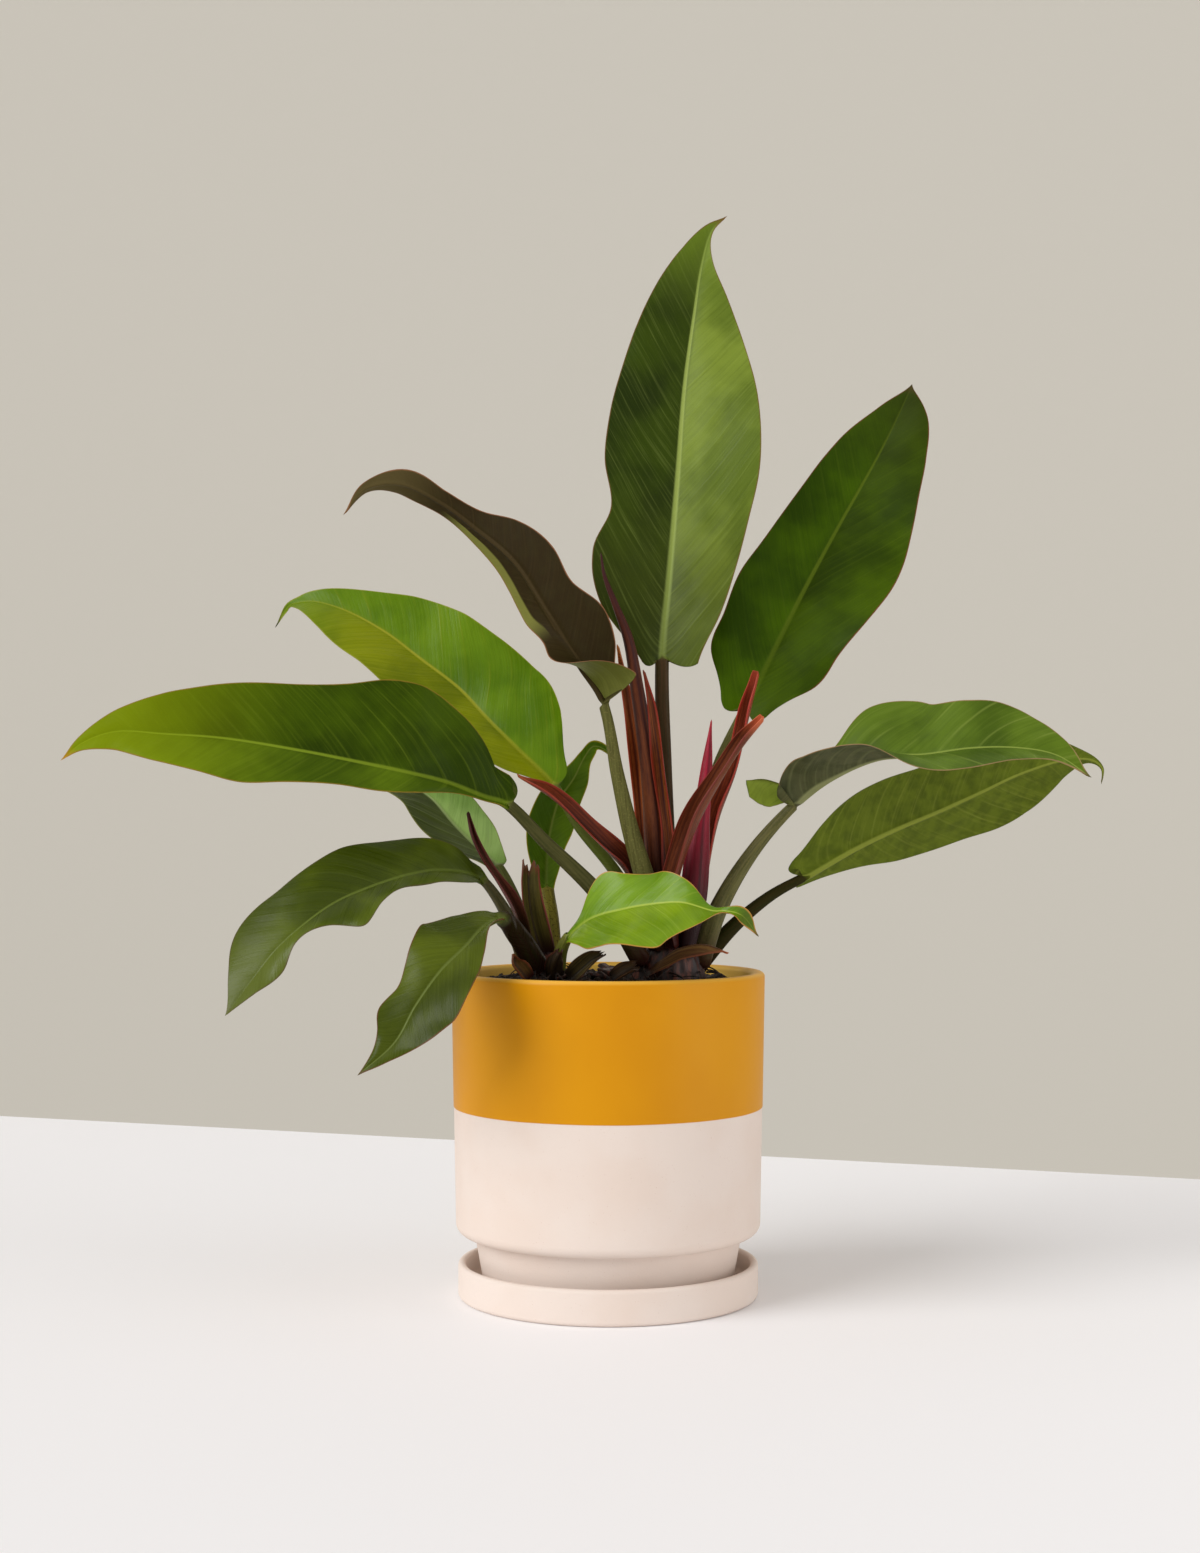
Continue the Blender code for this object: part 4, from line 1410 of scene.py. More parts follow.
@dataclass
class PottingSoil:
    """Damp mix that fills the pot: a crumbly mound with bark, clods and old roots on it. Metres."""

    pot: PotAndSaucer
    drop: float = 0.0065
    mound: float = 0.0030
    gap: float = 0.0003
    fibres: int = 54
    seed: int = 5
    around: int = 200
    inward: int = 44
    bed_step: float = 0.010
    litter: tuple[Litter, ...] = (
        Litter("soil_crumbs", 620, (0.7, 0.7, 0.7), (2.4, 2.4, 2.4), PottingMix()),
        Litter("soil_bark", 90, (4.0, 2.0, 0.8), (10.0, 4.0, 1.8), RootFinish(), chips=True),
        Litter("soil_clods", 40, (3.0, 3.0, 2.5), (8.0, 6.5, 6.0), PottingMix(),
               centre=(-6.0, -6.0), spread=(26.0, 34.0)),
        Litter("soil_old_bases", 15, (9.0, 4.0, 1.6), (17.0, 7.5, 3.2), CrownFinish(), lean=0.75,
               chips=True, bury=1.1, centre=(-6.0, -10.0), spread=(22.0, 26.0)),
    )

    @property
    def edge(self) -> float:
        """The soil's height at the pot's wall."""
        return self.pot.top - self.drop

    @property
    def rim(self) -> float:
        """The soil's radius at its surface."""
        return self.pot.radius - self.pot.wall - self.gap

    def surface(self, radius: float) -> float:
        """The soil's height at a radius."""
        return self.edge + self.mound * math.sin((1 - radius / self.rim) * math.pi / 2)

    def lumps(self, x: float, y: float) -> float:
        """How far the crumbly surface stands above the smooth one.

        Args:
            x: The place's x.
            y: The place's y.

        Returns:
            The height.
        """
        coarse = noise.noise(Vector((x, y, 0)) * 90) * 0.0010
        small = noise.noise(Vector((x, y, 0.3)) * 330) * 0.0008
        return coarse + small + abs(noise.noise(Vector((x, y, 0.7)) * 160)) * 0.0011

    def bed(self) -> bpy.types.Object:
        """The soil's body, filling the pot's hollow."""
        side = self.pot.hollow(self.gap)
        wall = self.pot.wall_radius(self.edge) - self.pot.wall - self.gap
        profile = fine([(0, side[0][1])] + side + [(wall, self.edge)], self.bed_step)
        reaches_in = [self.rim * (1 - i / self.inward) for i in range(1, self.inward + 1)]
        profile += [(reach, self.surface(reach)) for reach in reaches_in]
        bm = turned(profile, closed=False, steps=self.around)
        for vert in bm.verts:
            x, y, z = vert.co
            inside = math.hypot(x, y)
            if z > self.edge - MM and inside < self.rim - 0.5 * MM:
                vert.co.z += self.lumps(x, y)
        piece = finished("soil_bed", bm, PottingMix().material("potting_mix"), 80.0)
        return settle(piece, Slot.POTTING_SOIL, "potting_soil")

    def spot(self, rng: random.Random, litter: Litter) -> Point:
        """A random place on the soil's surface for a loose bit.

        Args:
            rng: The random source.
            litter: What lies there: its centre and spread set the place.

        Returns:
            The place, in metres.
        """
        share, bearing = math.sqrt(rng.random()), rng.uniform(0, TURN)
        x = (litter.centre[0] + litter.spread[0] * share * math.cos(bearing)) * MM
        y = (litter.centre[1] + litter.spread[1] * share * math.sin(bearing)) * MM
        return x, y, self.surface(math.hypot(x, y)) + self.lumps(x, y)

    def scattered(self, litter: Litter) -> bpy.types.Object:
        """Build, dress and settle one kind of loose bits.

        Args:
            litter: What they are.

        Returns:
            The settled piece.
        """
        rng = random.Random(self.seed + litter.count)
        bm = bmesh.new()
        for _ in range(litter.count):
            x, y, z = self.spot(rng, litter)
            turn = Matrix.Rotation(rng.uniform(0, TURN), 4, "Z")
            axis = "Y" if litter.chips else "X"
            lean = Matrix.Rotation(rng.uniform(-litter.lean, litter.lean), 4, axis)
            size = Vector([rng.uniform(a, b) * MM for a, b in zip(litter.low, litter.high)])
            if litter.chips:
                made = bmesh.ops.create_cube(bm, size=1.0)["verts"]
            else:
                made = bmesh.ops.create_icosphere(bm, subdivisions=1, radius=0.5)["verts"]
            for vert in made:
                vert.co = vert.co * (1 + 0.35 * noise.noise(vert.co * 3 + Vector((x, y, 0)) * 900))
            lift = size.z * litter.bury
            shape = Matrix.Translation((x, y, z + lift)) @ turn @ lean @ Matrix.Diagonal((*size, 1))
            bmesh.ops.transform(bm, matrix=shape, verts=made)
            if litter.chips:
                edges = {edge for vert in made for edge in vert.link_edges}
                bmesh.ops.bevel(bm, geom=list(edges), offset=size.z * 0.25, segments=1,
                                profile=0.5, affect="EDGES", material=-1)
        piece = finished(litter.name, bm, litter.finish.material(litter.name + "_finish"), 30.0)
        return settle(piece, Slot.POTTING_SOIL)

    def old_roots(self, crowns: tuple["Crown", ...], level: float) -> bpy.types.Object:
        """Thin dark roots that spring from the crowns' feet and arch down to the soil.

        Args:
            crowns: The crowns that they spring from.
            level: The planting level's height, in metres.

        Returns:
            The settled piece.
        """
        rng = random.Random(self.seed)
        material = RootFinish().material("old_root_finish")
        parts = []
        for index in range(self.fibres):
            crown = crowns[index % len(crowns)]
            bearing = rng.uniform(0, TURN)
            reach, rise, sway_by = rng.uniform(7, 19), rng.uniform(2, 9), rng.uniform(-0.6, 0.6)
            route = []
            for step in range(5):
                share = step / 4
                angle = bearing + sway_by * share
                x = crown.centre[0] + (crown.radii[0] * 0.86 + reach * share) * math.cos(angle)
                y = crown.centre[1] + (crown.radii[1] * 0.86 + reach * share) * math.sin(angle)
                inside = min(1.0, 76 / math.hypot(x, y))
                ground = (self.surface(math.hypot(x, y) * inside * MM) - level) / MM
                up = ground + rise * (1 - share) ** 1.3 + 2.4 * math.sin(math.pi * share)
                route.append((x * inside, y * inside, up + 0.2))
            thick = rng.uniform(0.22, 0.5)
            growth = Growth(route, ROUND_FACE)
            rings = Stem((thick, thick, thick * 0.4), 1.0, points=5).rings(
                growth, growth.even(10))
            rings.closed_ends(first=True, last=True)
            parts.append(drawn_skin(f"old_root_{index}", rings, level, material))
        return settle(merged("soil_old_roots", parts), Slot.ROOT)

    def make(self) -> None:
        """Build the bed and what lies on it."""
        self.bed()
        for litter in self.litter:
            self.scattered(litter)


@dataclass
class Rootlet:
    """A root that starts on the soil, humps over it and comes down again, with finer hairs.

    Its bearing is in degrees; its inset, length, rise and thickness are in millimetres.
    """

    node: str
    bearing: float
    inset: float
    length: float
    rise: float
    thick: float = 0.55
    hairs: int = 3

    def route(self, soil: PottingSoil, level: float, twist: float, share: float,
              lift: float) -> list[Point]:
        """A wandering route over the soil.

        Args:
            soil: The soil.
            level: The height of the planting level, in metres.
            twist: How far its bearing is turned, in degrees.
            share: How much of the root's length it has.
            lift: How much of the root's rise it has.

        Returns:
            Its points, in millimetres from the planting level.
        """
        start = (soil.pot.radius - soil.pot.wall) / MM - self.inset
        points = []
        for i in range(6):
            bend = 9 * math.sin(i * 1.02) + twist * i / 5
            angle = (self.bearing + bend) * DEGREE
            reach = start - self.length * share * i / 5
            rest = (soil.surface(reach * MM) - level) / MM + self.thick * 0.6
            rise = self.rise * lift * math.sin(math.pi * min(i / 4.6, 1))
            points.append((reach * math.cos(angle), reach * math.sin(angle), rest + rise))
        return points

    def make(self, soil: PottingSoil, level: float) -> bpy.types.Object:
        """Build, dress and settle the root and its hairs.

        Args:
            soil: The soil that it lies on.
            level: The height of the planting level, in metres.

        Returns:
            The settled piece.
        """
        runs = [(0.0, 1.0, 1.0, self.thick)]
        runs += [(14.0 * (k - 1) + 9, 0.75 - 0.15 * k, 1.5 - 0.4 * k, self.thick * 0.5)
                 for k in range(self.hairs)]
        material = RootFinish().material(self.node + "_finish")
        parts = []
        for index, (twist, share, lift, thick) in enumerate(runs):
            growth = Growth(self.route(soil, level, twist, share, lift), ROUND_FACE)
            stem = Stem((thick, thick, thick * 0.9, thick * 0.6, thick * 0.2), 1.0, points=8)
            rings = stem.rings(growth, growth.even(28)).closed_ends(True, True)
            parts.append(drawn_skin(f"{self.node}_{index}", rings, level, material))
        return settle(merged(self.node + "_grown", parts), Slot.ROOT, self.node)


def merged(name: str, parts: list[bpy.types.Object]) -> bpy.types.Object:
    """Several pieces of one material made one piece.

    Args:
        name: The new piece's name.
        parts: The pieces, which this removes.

    Returns:
        The one piece.
    """
    bm = bmesh.new()
    for part in parts:
        bm.from_mesh(part.data)
    material = parts[0].data.materials[0]
    for part in parts:
        bpy.data.objects.remove(part)
    return finished(name, bm, material, 60.0)


@dataclass
class Studio:
    """A pale table with a slanting far edge, a beige wall, soft light from the upper left, a camera."""

    eye: Point = (-0.0044, -1.17, 0.250)
    tilt: float = 1.48
    lens: float = 49.77
    table_colour: Colour = (247, 246, 248)
    wall_colour: Colour = (205, 201, 191)
    air_colour: Colour = (206, 203, 200)
    air_strength: float = 0.95
    sun_strength: float = 2.0
    sun_softness: float = 40.0
    fill_power: float = 17.0
    fill_size: float = 1.4
    key_place: Point = (-1.62, -1.02, 1.42)
    fill_place: Point = (2.2, -1.0, 0.35)
    aim_height: float = 0.2
    table_front: float = -4.0
    table_thickness: float = 0.03
    wall_place: Point = (0.0, 2.6, 0.5)
    wall_reach: float = 4.0
    edge_left: Spot = (-3.0, 1.614)
    edge_right: Spot = (3.0, -0.541)

    def plain(self, name: str, colour: Colour, roughness: float) -> bpy.types.Material:
        """A plain finish for the set."""
        s = Shading(name)
        return s.finish(Base_Color=colour, Roughness=roughness, Specular_IOR_Level=0.2)

    def table(self) -> None:
        """A flat pale top, its far edge running at a slant."""
        bm = bmesh.new()
        front = [(x, self.table_front) for x, _ in (self.edge_left, self.edge_right)]
        corners = front + [self.edge_right, self.edge_left]
        top = bm.faces.new([bm.verts.new((x, y, 0.0)) for x, y in corners])
        deep = bmesh.ops.extrude_face_region(bm, geom=[top])["geom"]
        verts = [v for v in deep if isinstance(v, bmesh.types.BMVert)]
        bmesh.ops.translate(bm, verts=verts, vec=(0, 0, -self.table_thickness))
        made = finished("table", bm, self.plain("table_paint", self.table_colour, 0.6), 30.0)

    def wall(self) -> None:
        """A plain wall well behind the table."""
        bm = bmesh.new()
        bmesh.ops.create_grid(bm, x_segments=1, y_segments=1, size=self.wall_reach)
        upright = Matrix.Translation(self.wall_place) @ Matrix.Rotation(math.pi / 2, 4, "X")
        bmesh.ops.transform(bm, matrix=upright, verts=bm.verts)
        mesh = bpy.data.meshes.new("wall")
        bm.to_mesh(mesh)
        bm.free()
        mesh.materials.append(self.plain("wall_paint", self.wall_colour, 0.9))
        made = bpy.data.objects.new("wall", mesh)
        bpy.context.scene.collection.objects.link(made)

    def light(self) -> None:
        """Even air light, a soft key from the upper left and a broad sheen light."""
        scene = bpy.context.scene
        world = bpy.data.worlds.new("air")
        scene.world = world
        world.use_nodes = True
        air = world.node_tree.nodes["Background"]
        air.inputs["Color"].default_value = linear(self.air_colour)
        air.inputs["Strength"].default_value = self.air_strength
        key = bpy.data.lights.new("key", "SUN")
        key.energy = self.sun_strength
        key.angle = math.radians(self.sun_softness)
        self.aim("key", key, self.key_place)
        fill = bpy.data.lights.new("fill", "AREA")
        fill.energy = self.fill_power
        fill.size = self.fill_size
        self.aim("fill", fill, self.fill_place)

    def aim(self, name: str, data: bpy.types.Light, place: Point) -> None:
        """Stand a light facing the plant.

        Args:
            name: Its name.
            data: The light.
            place: Where it stands.
        """
        lamp = bpy.data.objects.new(name, data)
        lamp.location = place
        sight = Vector((0, 0, self.aim_height)) - Vector(place)
        lamp.rotation_euler = sight.to_track_quat("-Z", "Y").to_euler()
        bpy.context.scene.collection.objects.link(lamp)

    def camera(self) -> None:
        """The camera, level with the plant's middle and tilted up a little."""
        data = bpy.data.cameras.new("camera")
        data.lens = self.lens
        data.sensor_width = 36.0
        camera = bpy.data.objects.new("camera", data)
        camera.location = self.eye
        camera.rotation_euler = (math.radians(90 + self.tilt), 0, 0)
        bpy.context.scene.collection.objects.link(camera)
        bpy.context.scene.camera = camera

    def make(self) -> None:
        """Build the set."""
        bpy.context.scene.view_settings.view_transform = "Standard"
        self.table()
        self.wall()
        self.light()
        self.camera()

LEAVES = (
    Leaf("leaf_top_centre", Slot.LEAF_GREEN,
        stalk=((34, 9, 12), (33, 13, 60), (31, 14, 120)),
        blade=((30, 16, 180), (34, 25, 223), (39, 38, 278), (44, 53, 338), (50, 64, 382), (55, 71, 414),
        (61, 75, 434), (70, 76, 443)), face=((0, -1, 0.1), (0, -1, 0.2), (0, -1, 0.1), (0.2, -1, 0.3)),
        stalk_size=(5.2, 3.8),
        lamina=Lamina(left=(10, 38, 45, 37, 43, 42, 38, 33, 25, 13, 0),
        right=(20, 31, 38, 43, 47, 46, 41, 31, 18, 4, 0), fold_left=(14,), fold_right=(14,), lobe=9,
        arch=14, wave_left=Wave(2.2, 88, 20), wave_right=Wave(1.6, 110, 60), rib_width=2.6, quilt=0.1,
        quilt_gap=20, quilt_slope=1.15, shoulder=2, seed=1),
        # Its right half colour is mostly painted light with a painted sheen, its left mostly painted shade:
        # one green seen lit and shaded across the fold.
        finish=LeafFinish(left=(48, 64, 3), right=(116, 134, 46), rib=(150, 166, 84), under=(92, 98, 48),
        under_rib=(140, 146, 88), stalk=(70, 50, 28), stalk_base=(48, 26, 20), margin=(112, 82, 44),
        tip=(110, 84, 40), base_tint=(54, 62, 8), base_reach=0.42, rib_width=2.7, vein_show=0.07,
        reflection=0.1, end_tint=(106, 128, 34), end_span=(0.7, 1))),
    Leaf("leaf_upper_right", Slot.LEAF_GREEN,
        stalk=((44, 9, 12), (50, 18, 60), (60, 21, 115)),
        blade=((77, 22, 152), (92, 34, 182), (110, 49, 217), (131, 66, 255), (160, 83, 306), (175, 92, 336),
        (181, 99, 349)), face=((-0.2, -1, 0.1),), stalk_size=(5, 3.2),
        lamina=Lamina(left=(16, 33, 35, 37, 35, 33, 30, 27, 22, 12, 0),
        right=(14, 32, 37, 44, 48, 47, 42, 35, 28, 19, 0), fold_left=(14,), fold_right=(14,), lobe=11,
        arch=12, wave_left=Wave(1.4, 95, 0), wave_right=Wave(2.4, 84, 30), quilt=0.1, quilt_gap=20,
        quilt_slope=1.25, shoulder=11, seed=2),
        finish=LeafFinish(left=(64, 92, 0), right=(60, 82, 0), rib=(88, 106, 22), under=(94, 104, 48),
        under_rib=(150, 158, 98), stalk=(98, 96, 50), margin=(116, 62, 40), tip=(70, 60, 30), rib_width=2.3,
        roughness=0.42, vein_show=0.12, reflection=0.06, end_tint=(44, 52, 10), end_span=(0.6, 1))),
    Leaf("leaf_big_right", Slot.LEAF_GREEN,
        stalk=((48, -7, 8), (60, -6, 42), (80, -1, 74)),
        blade=((103, 2, 99), (119, -11, 112), (144, -24, 123), (167, -34, 124), (190, -43, 127),
        (213, -50, 127), (232, -57, 123), (249, -64, 111)), face=((0, -0.64, 0.77),), stalk_size=(6, 3),
        lamina=Lamina(left=(11, 14, 19, 36, 40, 34, 31, 30, 21, 8, 0),
        right=(16, 22, 28, 30, 32, 32, 31, 25, 16, 4, 0), fold_left=(15,), fold_right=(100, 60, 25, 15, 15),
        lobe=9, arch=10, wave_left=Wave(2, 62, 10), wave_right=Wave(1.6, 74, 0), quilt=0.22, quilt_gap=22,
        quilt_slope=0.8, shoulder=9, seed=3),
        finish=LeafFinish(left=(86, 109, 25), right=(88, 112, 30), rib=(132, 148, 66), under=(81, 83, 54),
        under_rib=(140, 144, 96), stalk=(104, 100, 60), margin=(150, 120, 84), tip=(86, 80, 40),
        rib_width=1.9, speckle=0.5, vein_show=0.34, reflection=0.08)),
    Leaf("leaf_lower_right", Slot.LEAF_UNDERSIDE,
        stalk=((46, 3, 6), (68, 5, 31), (89, 8, 48)),
        blade=((109, 10, 59), (136, 18, 74), (160, 26, 85), (185, 33, 95), (210, 37, 106), (232, 40, 116),
        (258, 41, 124), (273, 42, 124), (280, 45, 119), (280, 48, 110)), face=((0, 0.85, 0.5),),
        stalk_size=(5, 2.6),
        lamina=Lamina(left=(5, 11, 17, 24, 28, 30, 32, 29, 19, 4, 0),
        right=(12, 22, 28, 29, 28, 27, 27, 24, 14, 3, 0), lobe=13, arch=12, wave_left=Wave(1.2, 80, 0),
        wave_right=Wave(1.2, 90, 30), groove=0.2, quilt=0.1, quilt_gap=14, quilt_slope=0.7, shoulder=9,
        seed=4),
        finish=LeafFinish(left=(88, 106, 30), right=(84, 104, 28), rib=(120, 134, 60), under=(89, 102, 25),
        under_rib=(129, 138, 54), stalk=(47, 40, 13), margin=(92, 98, 40), tip=(90, 84, 44), rib_width=1.5,
        roughness=0.44, vein_show=0.15, reflection=0.05)),
    Leaf("leaf_long_left", Slot.LEAF_GREEN,
        stalk=((20, -17, 10), (-2, -20, 46), (-34, -24, 78)),
        blade=((-54, -28, 98), (-66, -33, 102), (-84, -41, 109), (-104, -50, 114), (-128, -58, 119),
        (-159, -67, 125), (-197, -73, 131), (-227, -78, 133), (-251, -80, 134), (-267, -83, 128),
        (-277, -86, 119)), face=((0, -0.9, 0.44),), stalk_size=(5.6, 3.2),
        lamina=Lamina(left=(3, 4, 10, 16, 18, 21, 26, 23, 16, 9, 0),
        right=(14, 30, 45, 47, 41, 36, 31, 25, 19, 8, 0), fold_left=(10,), fold_right=(14,), lobe=6,
        arch=14, wave_left=Wave(1.6, 86, 10), wave_right=Wave(2.2, 110, 40), quilt=0.14, quilt_gap=18,
        quilt_slope=0.85, shoulder=8, seed=5),
        finish=LeafFinish(left=(85, 108, 13), right=(59, 80, 3), rib=(120, 140, 36), under=(88, 96, 44),
        under_rib=(130, 140, 80), stalk=(79, 76, 42), margin=(140, 112, 40), tip=(168, 122, 24),
        rib_width=1.7, vein_show=0.14, reflection=0.05, end_tint=(132, 150, 6), end_span=(0.45, 0.98))),
    Leaf("leaf_upper_left", Slot.LEAF_YELLOW_GREEN,
        stalk=((23, 3, 18), (6, 5, 58), (-16, 4, 86)),
        blade=((-30, 3, 109), (-48, 8, 127), (-67, 15, 146), (-83, 23, 163), (-105, 30, 180),
        (-126, 37, 196), (-150, 43, 209), (-167, 47, 214), (-175, 51, 214), (-183, 56, 212),
        (-191, 60, 200)), face=((0.35, -0.9, 0.25), (0.25, -0.9, 0.35), (0.2, -0.8, 0.5)),
        stalk_size=(4.2, 2.6),
        lamina=Lamina(left=(5, 16, 26, 30, 31, 30, 29, 26, 18, 5, 0),
        right=(13, 29, 39, 40, 37, 35, 29, 20, 11, 3, 0), fold_right=(14,), lobe=4, arch=16,
        wave_left=Wave(1.4, 70, 0), wave_right=Wave(1.4, 86, 20), quilt=0.12, quilt_gap=18, quilt_slope=0.9,
        shoulder=8, seed=6),
        finish=LeafFinish(left=(123, 132, 6), right=(98, 130, 14), rib=(150, 150, 39), under=(110, 124, 40),
        under_rib=(150, 160, 80), stalk=(96, 104, 44), margin=(142, 144, 44), tip=(52, 56, 26),
        rib_width=1.8, roughness=0.28, shade=(70, 92, 8), vein_show=0.18, reflection=0.1,
        end_tint=(92, 122, 20), end_span=(0.62, 0.95))),
    Leaf("leaf_dark_arching", Slot.LEAF_DARK,
        stalk=((29, -12, 16), (22, -14, 50), (12, -14, 84), (5, -14, 114)),
        blade=((-3, -14, 153), (-15, -9, 173), (-33, -1, 204), (-51, 8, 232), (-72, 18, 251),
        (-93, 24, 267), (-116, 26, 278), (-136, 26, 275), (-148, 26, 260)), face=((0.2, 0.9, 0.2),
        (0.55, 0.75, 0.35), (0.4, 0.8, 0.4), (0, 0.8, 0.6), (-0.3, 0.5, 0.8)), stalk_size=(6.6, 2.8),
        stalk_groove=0.05,
        lamina=Lamina(left=(6, 22, 27, 20, 22, 17, 9, 7, 8, 4, 0),
        right=(34, 24, 11, 17, 17, 14, 10, 8, 9, 5, 0), fold_left=(25,),
        fold_right=(-150, -90, -20, 0, 12, 12, 12, 12, 12), wave_left=Wave(0.8, 60, 0),
        wave_right=Wave(0.8, 60, 20), quilt=0.08, seed=7),
        finish=LeafFinish(left=(116, 120, 54), right=(112, 116, 52), rib=(140, 142, 70), under=(43, 33, 11),
        under_rib=(62, 50, 26), stalk=(94, 93, 48), margin=(140, 96, 66), tip=(120, 84, 50),
        shade=(48, 42, 16), rib_width=1.8, roughness=0.44, speckle=0.6, vein_show=0.12, reflection=0.06,
        end_tint=(100, 88, 52), end_span=(0.66, 0.92), roll=(112, 112, 52), roll_width=6)),
    Leaf("leaf_small_back", Slot.LEAF_GREEN,
        stalk=((-29, -4, 6), (-31, 8, 34)),
        blade=((-34, 18, 53), (-34, 21, 67), (-32, 23, 84), (-27, 26, 101), (-19, 29, 113), (-13, 32, 125),
        (-8, 34, 131), (0, 37, 128), (6, 40, 119)), face=((0.3, -0.9, 0.2), (0.4, -0.8, 0.3),
        (0.4, -0.7, 0.5)), stalk_size=(4.6, 4.2),
        lamina=Lamina(left=(3, 10, 15, 17, 15, 12, 9, 5, 3, 2, 0),
        right=(4, 7, 9, 12, 13, 12, 9, 5, 4, 2, 0), fold_left=(20,), fold_right=(20,), lobe=4, arch=10,
        quilt=0.08, quilt_gap=12, seed=8),
        finish=LeafFinish(left=(100, 135, 25), right=(107, 139, 27), rib=(130, 146, 62), under=(90, 96, 44),
        under_rib=(130, 138, 76), stalk=(136, 126, 49), margin=(180, 164, 40), tip=(120, 120, 40),
        rib_width=1.4, roughness=0.3, speckle=0.8, speck=(70, 56, 26), vein_show=0.15, reflection=0.08)),
    Leaf("leaf_pale_back", Slot.LEAF_GREEN,
        stalk=((-40, -3, 8), (-50, 4, 44)),
        blade=((-61, 12, 65), (-71, 21, 73), (-86, 33, 87), (-101, 45, 103), (-121, 55, 114),
        (-142, 63, 120), (-157, 71, 122)), face=((0.4, -0.7, 0.6), (0.3, -0.7, 0.7)), stalk_size=(5, 2.8),
        lamina=Lamina(left=(8, 18, 22, 24, 24, 22, 20, 17, 12, 7, 0),
        right=(6, 12, 18, 21, 21, 17, 13, 9, 6, 3, 0), lobe=2, arch=10, wave_left=Wave(1, 60, 0),
        quilt=0.12, quilt_gap=12, seed=9),
        # Its pale right half colour is partly its own lighter green and partly a painted sheen; its left
        # half is the darker green.
        finish=LeafFinish(left=(66, 78, 14), right=(150, 180, 100), rib=(150, 166, 108),
        under=(100, 110, 60), under_rib=(140, 148, 92), stalk=(96, 100, 50), margin=(120, 120, 60),
        tip=(90, 90, 40), rib_width=1.6, roughness=0.34, vein_show=0.3, reflection=0.12)),
    Leaf("leaf_drooping_left", Slot.LEAF_GREEN,
        stalk=((-42, -10, 8), (-54, -15, 38)),
        blade=((-67, -18, 57), (-74, -23, 61), (-90, -32, 63), (-104, -41, 61), (-123, -50, 55),
        (-141, -58, 47), (-155, -65, 37), (-170, -71, 23), (-182, -76, 7), (-194, -82, -10)),
        face=((0, -0.75, 0.66), (-0.1, -0.75, 0.66), (-0.3, -0.75, 0.6), (-0.4, -0.75, 0.5)),
        stalk_size=(5.2, 2.6),
        lamina=Lamina(left=(4, 13, 10, 10, 17, 25, 12, 8, 13, 10, 0),
        right=(5, 15, 22, 25, 27, 26, 27, 27, 22, 12, 0), fold_left=(8,), lobe=2, arch=10,
        wave_left=Wave(2.6, 48, 12), wave_right=Wave(2, 60, 0), quilt=0.1, shoulder=5, seed=10),
        finish=LeafFinish(left=(82, 96, 4), right=(80, 94, 4), rib=(96, 110, 40), under=(86, 90, 44),
        under_rib=(126, 130, 74), stalk=(84, 78, 44), margin=(84, 76, 36), tip=(88, 90, 34), rib_width=1.5,
        roughness=0.3, vein_show=0.14, reflection=0.2, end_tint=(84, 94, 28), end_span=(0.55, 0.95))),
    Leaf("leaf_hanging_front", Slot.LEAF_GREEN,
        stalk=((-37, -19, 9), (-47, -33, 27)),
        blade=((-56, -46, 38), (-64, -59, 35), (-73, -72, 25), (-85, -83, 13), (-97, -90, -4),
        (-107, -95, -22), (-125, -100, -38)), face=((-0.3, -0.7, 0.6), (-0.4, -0.85, 0.4),
        (-0.3, -0.9, 0.2)), stalk_size=(6.5, 5.4),
        lamina=Lamina(left=(3, 5, 8, 14, 22, 27, 27, 20, 11, 5, 0),
        right=(8, 18, 25, 26, 23, 19, 15, 16, 11, 5, 0), fold_left=(10,), fold_right=(10,), arch=10,
        wave_left=Wave(2, 44, 8), wave_right=Wave(2.4, 50, 24), quilt=0.1, seed=11),
        finish=LeafFinish(left=(78, 90, 14), right=(80, 92, 14), rib=(96, 108, 46), under=(96, 104, 52),
        under_rib=(130, 138, 80), stalk=(44, 26, 18), stalk_base=(40, 18, 14), margin=(104, 62, 40),
        tip=(84, 70, 36), rib_width=1.6, roughness=0.28, vein_show=0.14, reflection=0.12)),
    Leaf("leaf_small_front", Slot.LEAF_YELLOW_GREEN,
        stalk=((-28, -16, 6), (-25, -26, 20)),
        blade=((-20, -34, 29), (-9, -45, 38), (7, -56, 43), (22, -65, 46), (38, -72, 47), (53, -77, 43),
        (59, -80, 43), (67, -82, 41), (76, -83, 30)), face=((0.1, -0.75, 0.65),), stalk_size=(4.6, 3),
        lamina=Lamina(left=(2, 9, 22, 22, 22, 19, 13, 6, 3, 3, 0),
        right=(4, 15, 25, 30, 34, 35, 33, 20, 4, 4, 0), fold_left=(10,), fold_right=(10,), lobe=7, arch=12,
        wave_left=Wave(2.8, 40, 8), wave_right=Wave(2.4, 46, 20), quilt=0.14, quilt_gap=14, shoulder=2,
        seed=12),
        finish=LeafFinish(left=(112, 146, 28), right=(124, 152, 20), rib=(160, 178, 66), under=(88, 98, 44),
        under_rib=(130, 138, 74), stalk=(112, 112, 50), margin=(186, 130, 62), tip=(78, 72, 36),
        shade=(62, 92, 6), rib_width=1.5, roughness=0.22, vein_show=0.2, reflection=0.18,
        end_tint=(62, 76, 22), end_span=(0.84, 0.9))),
)

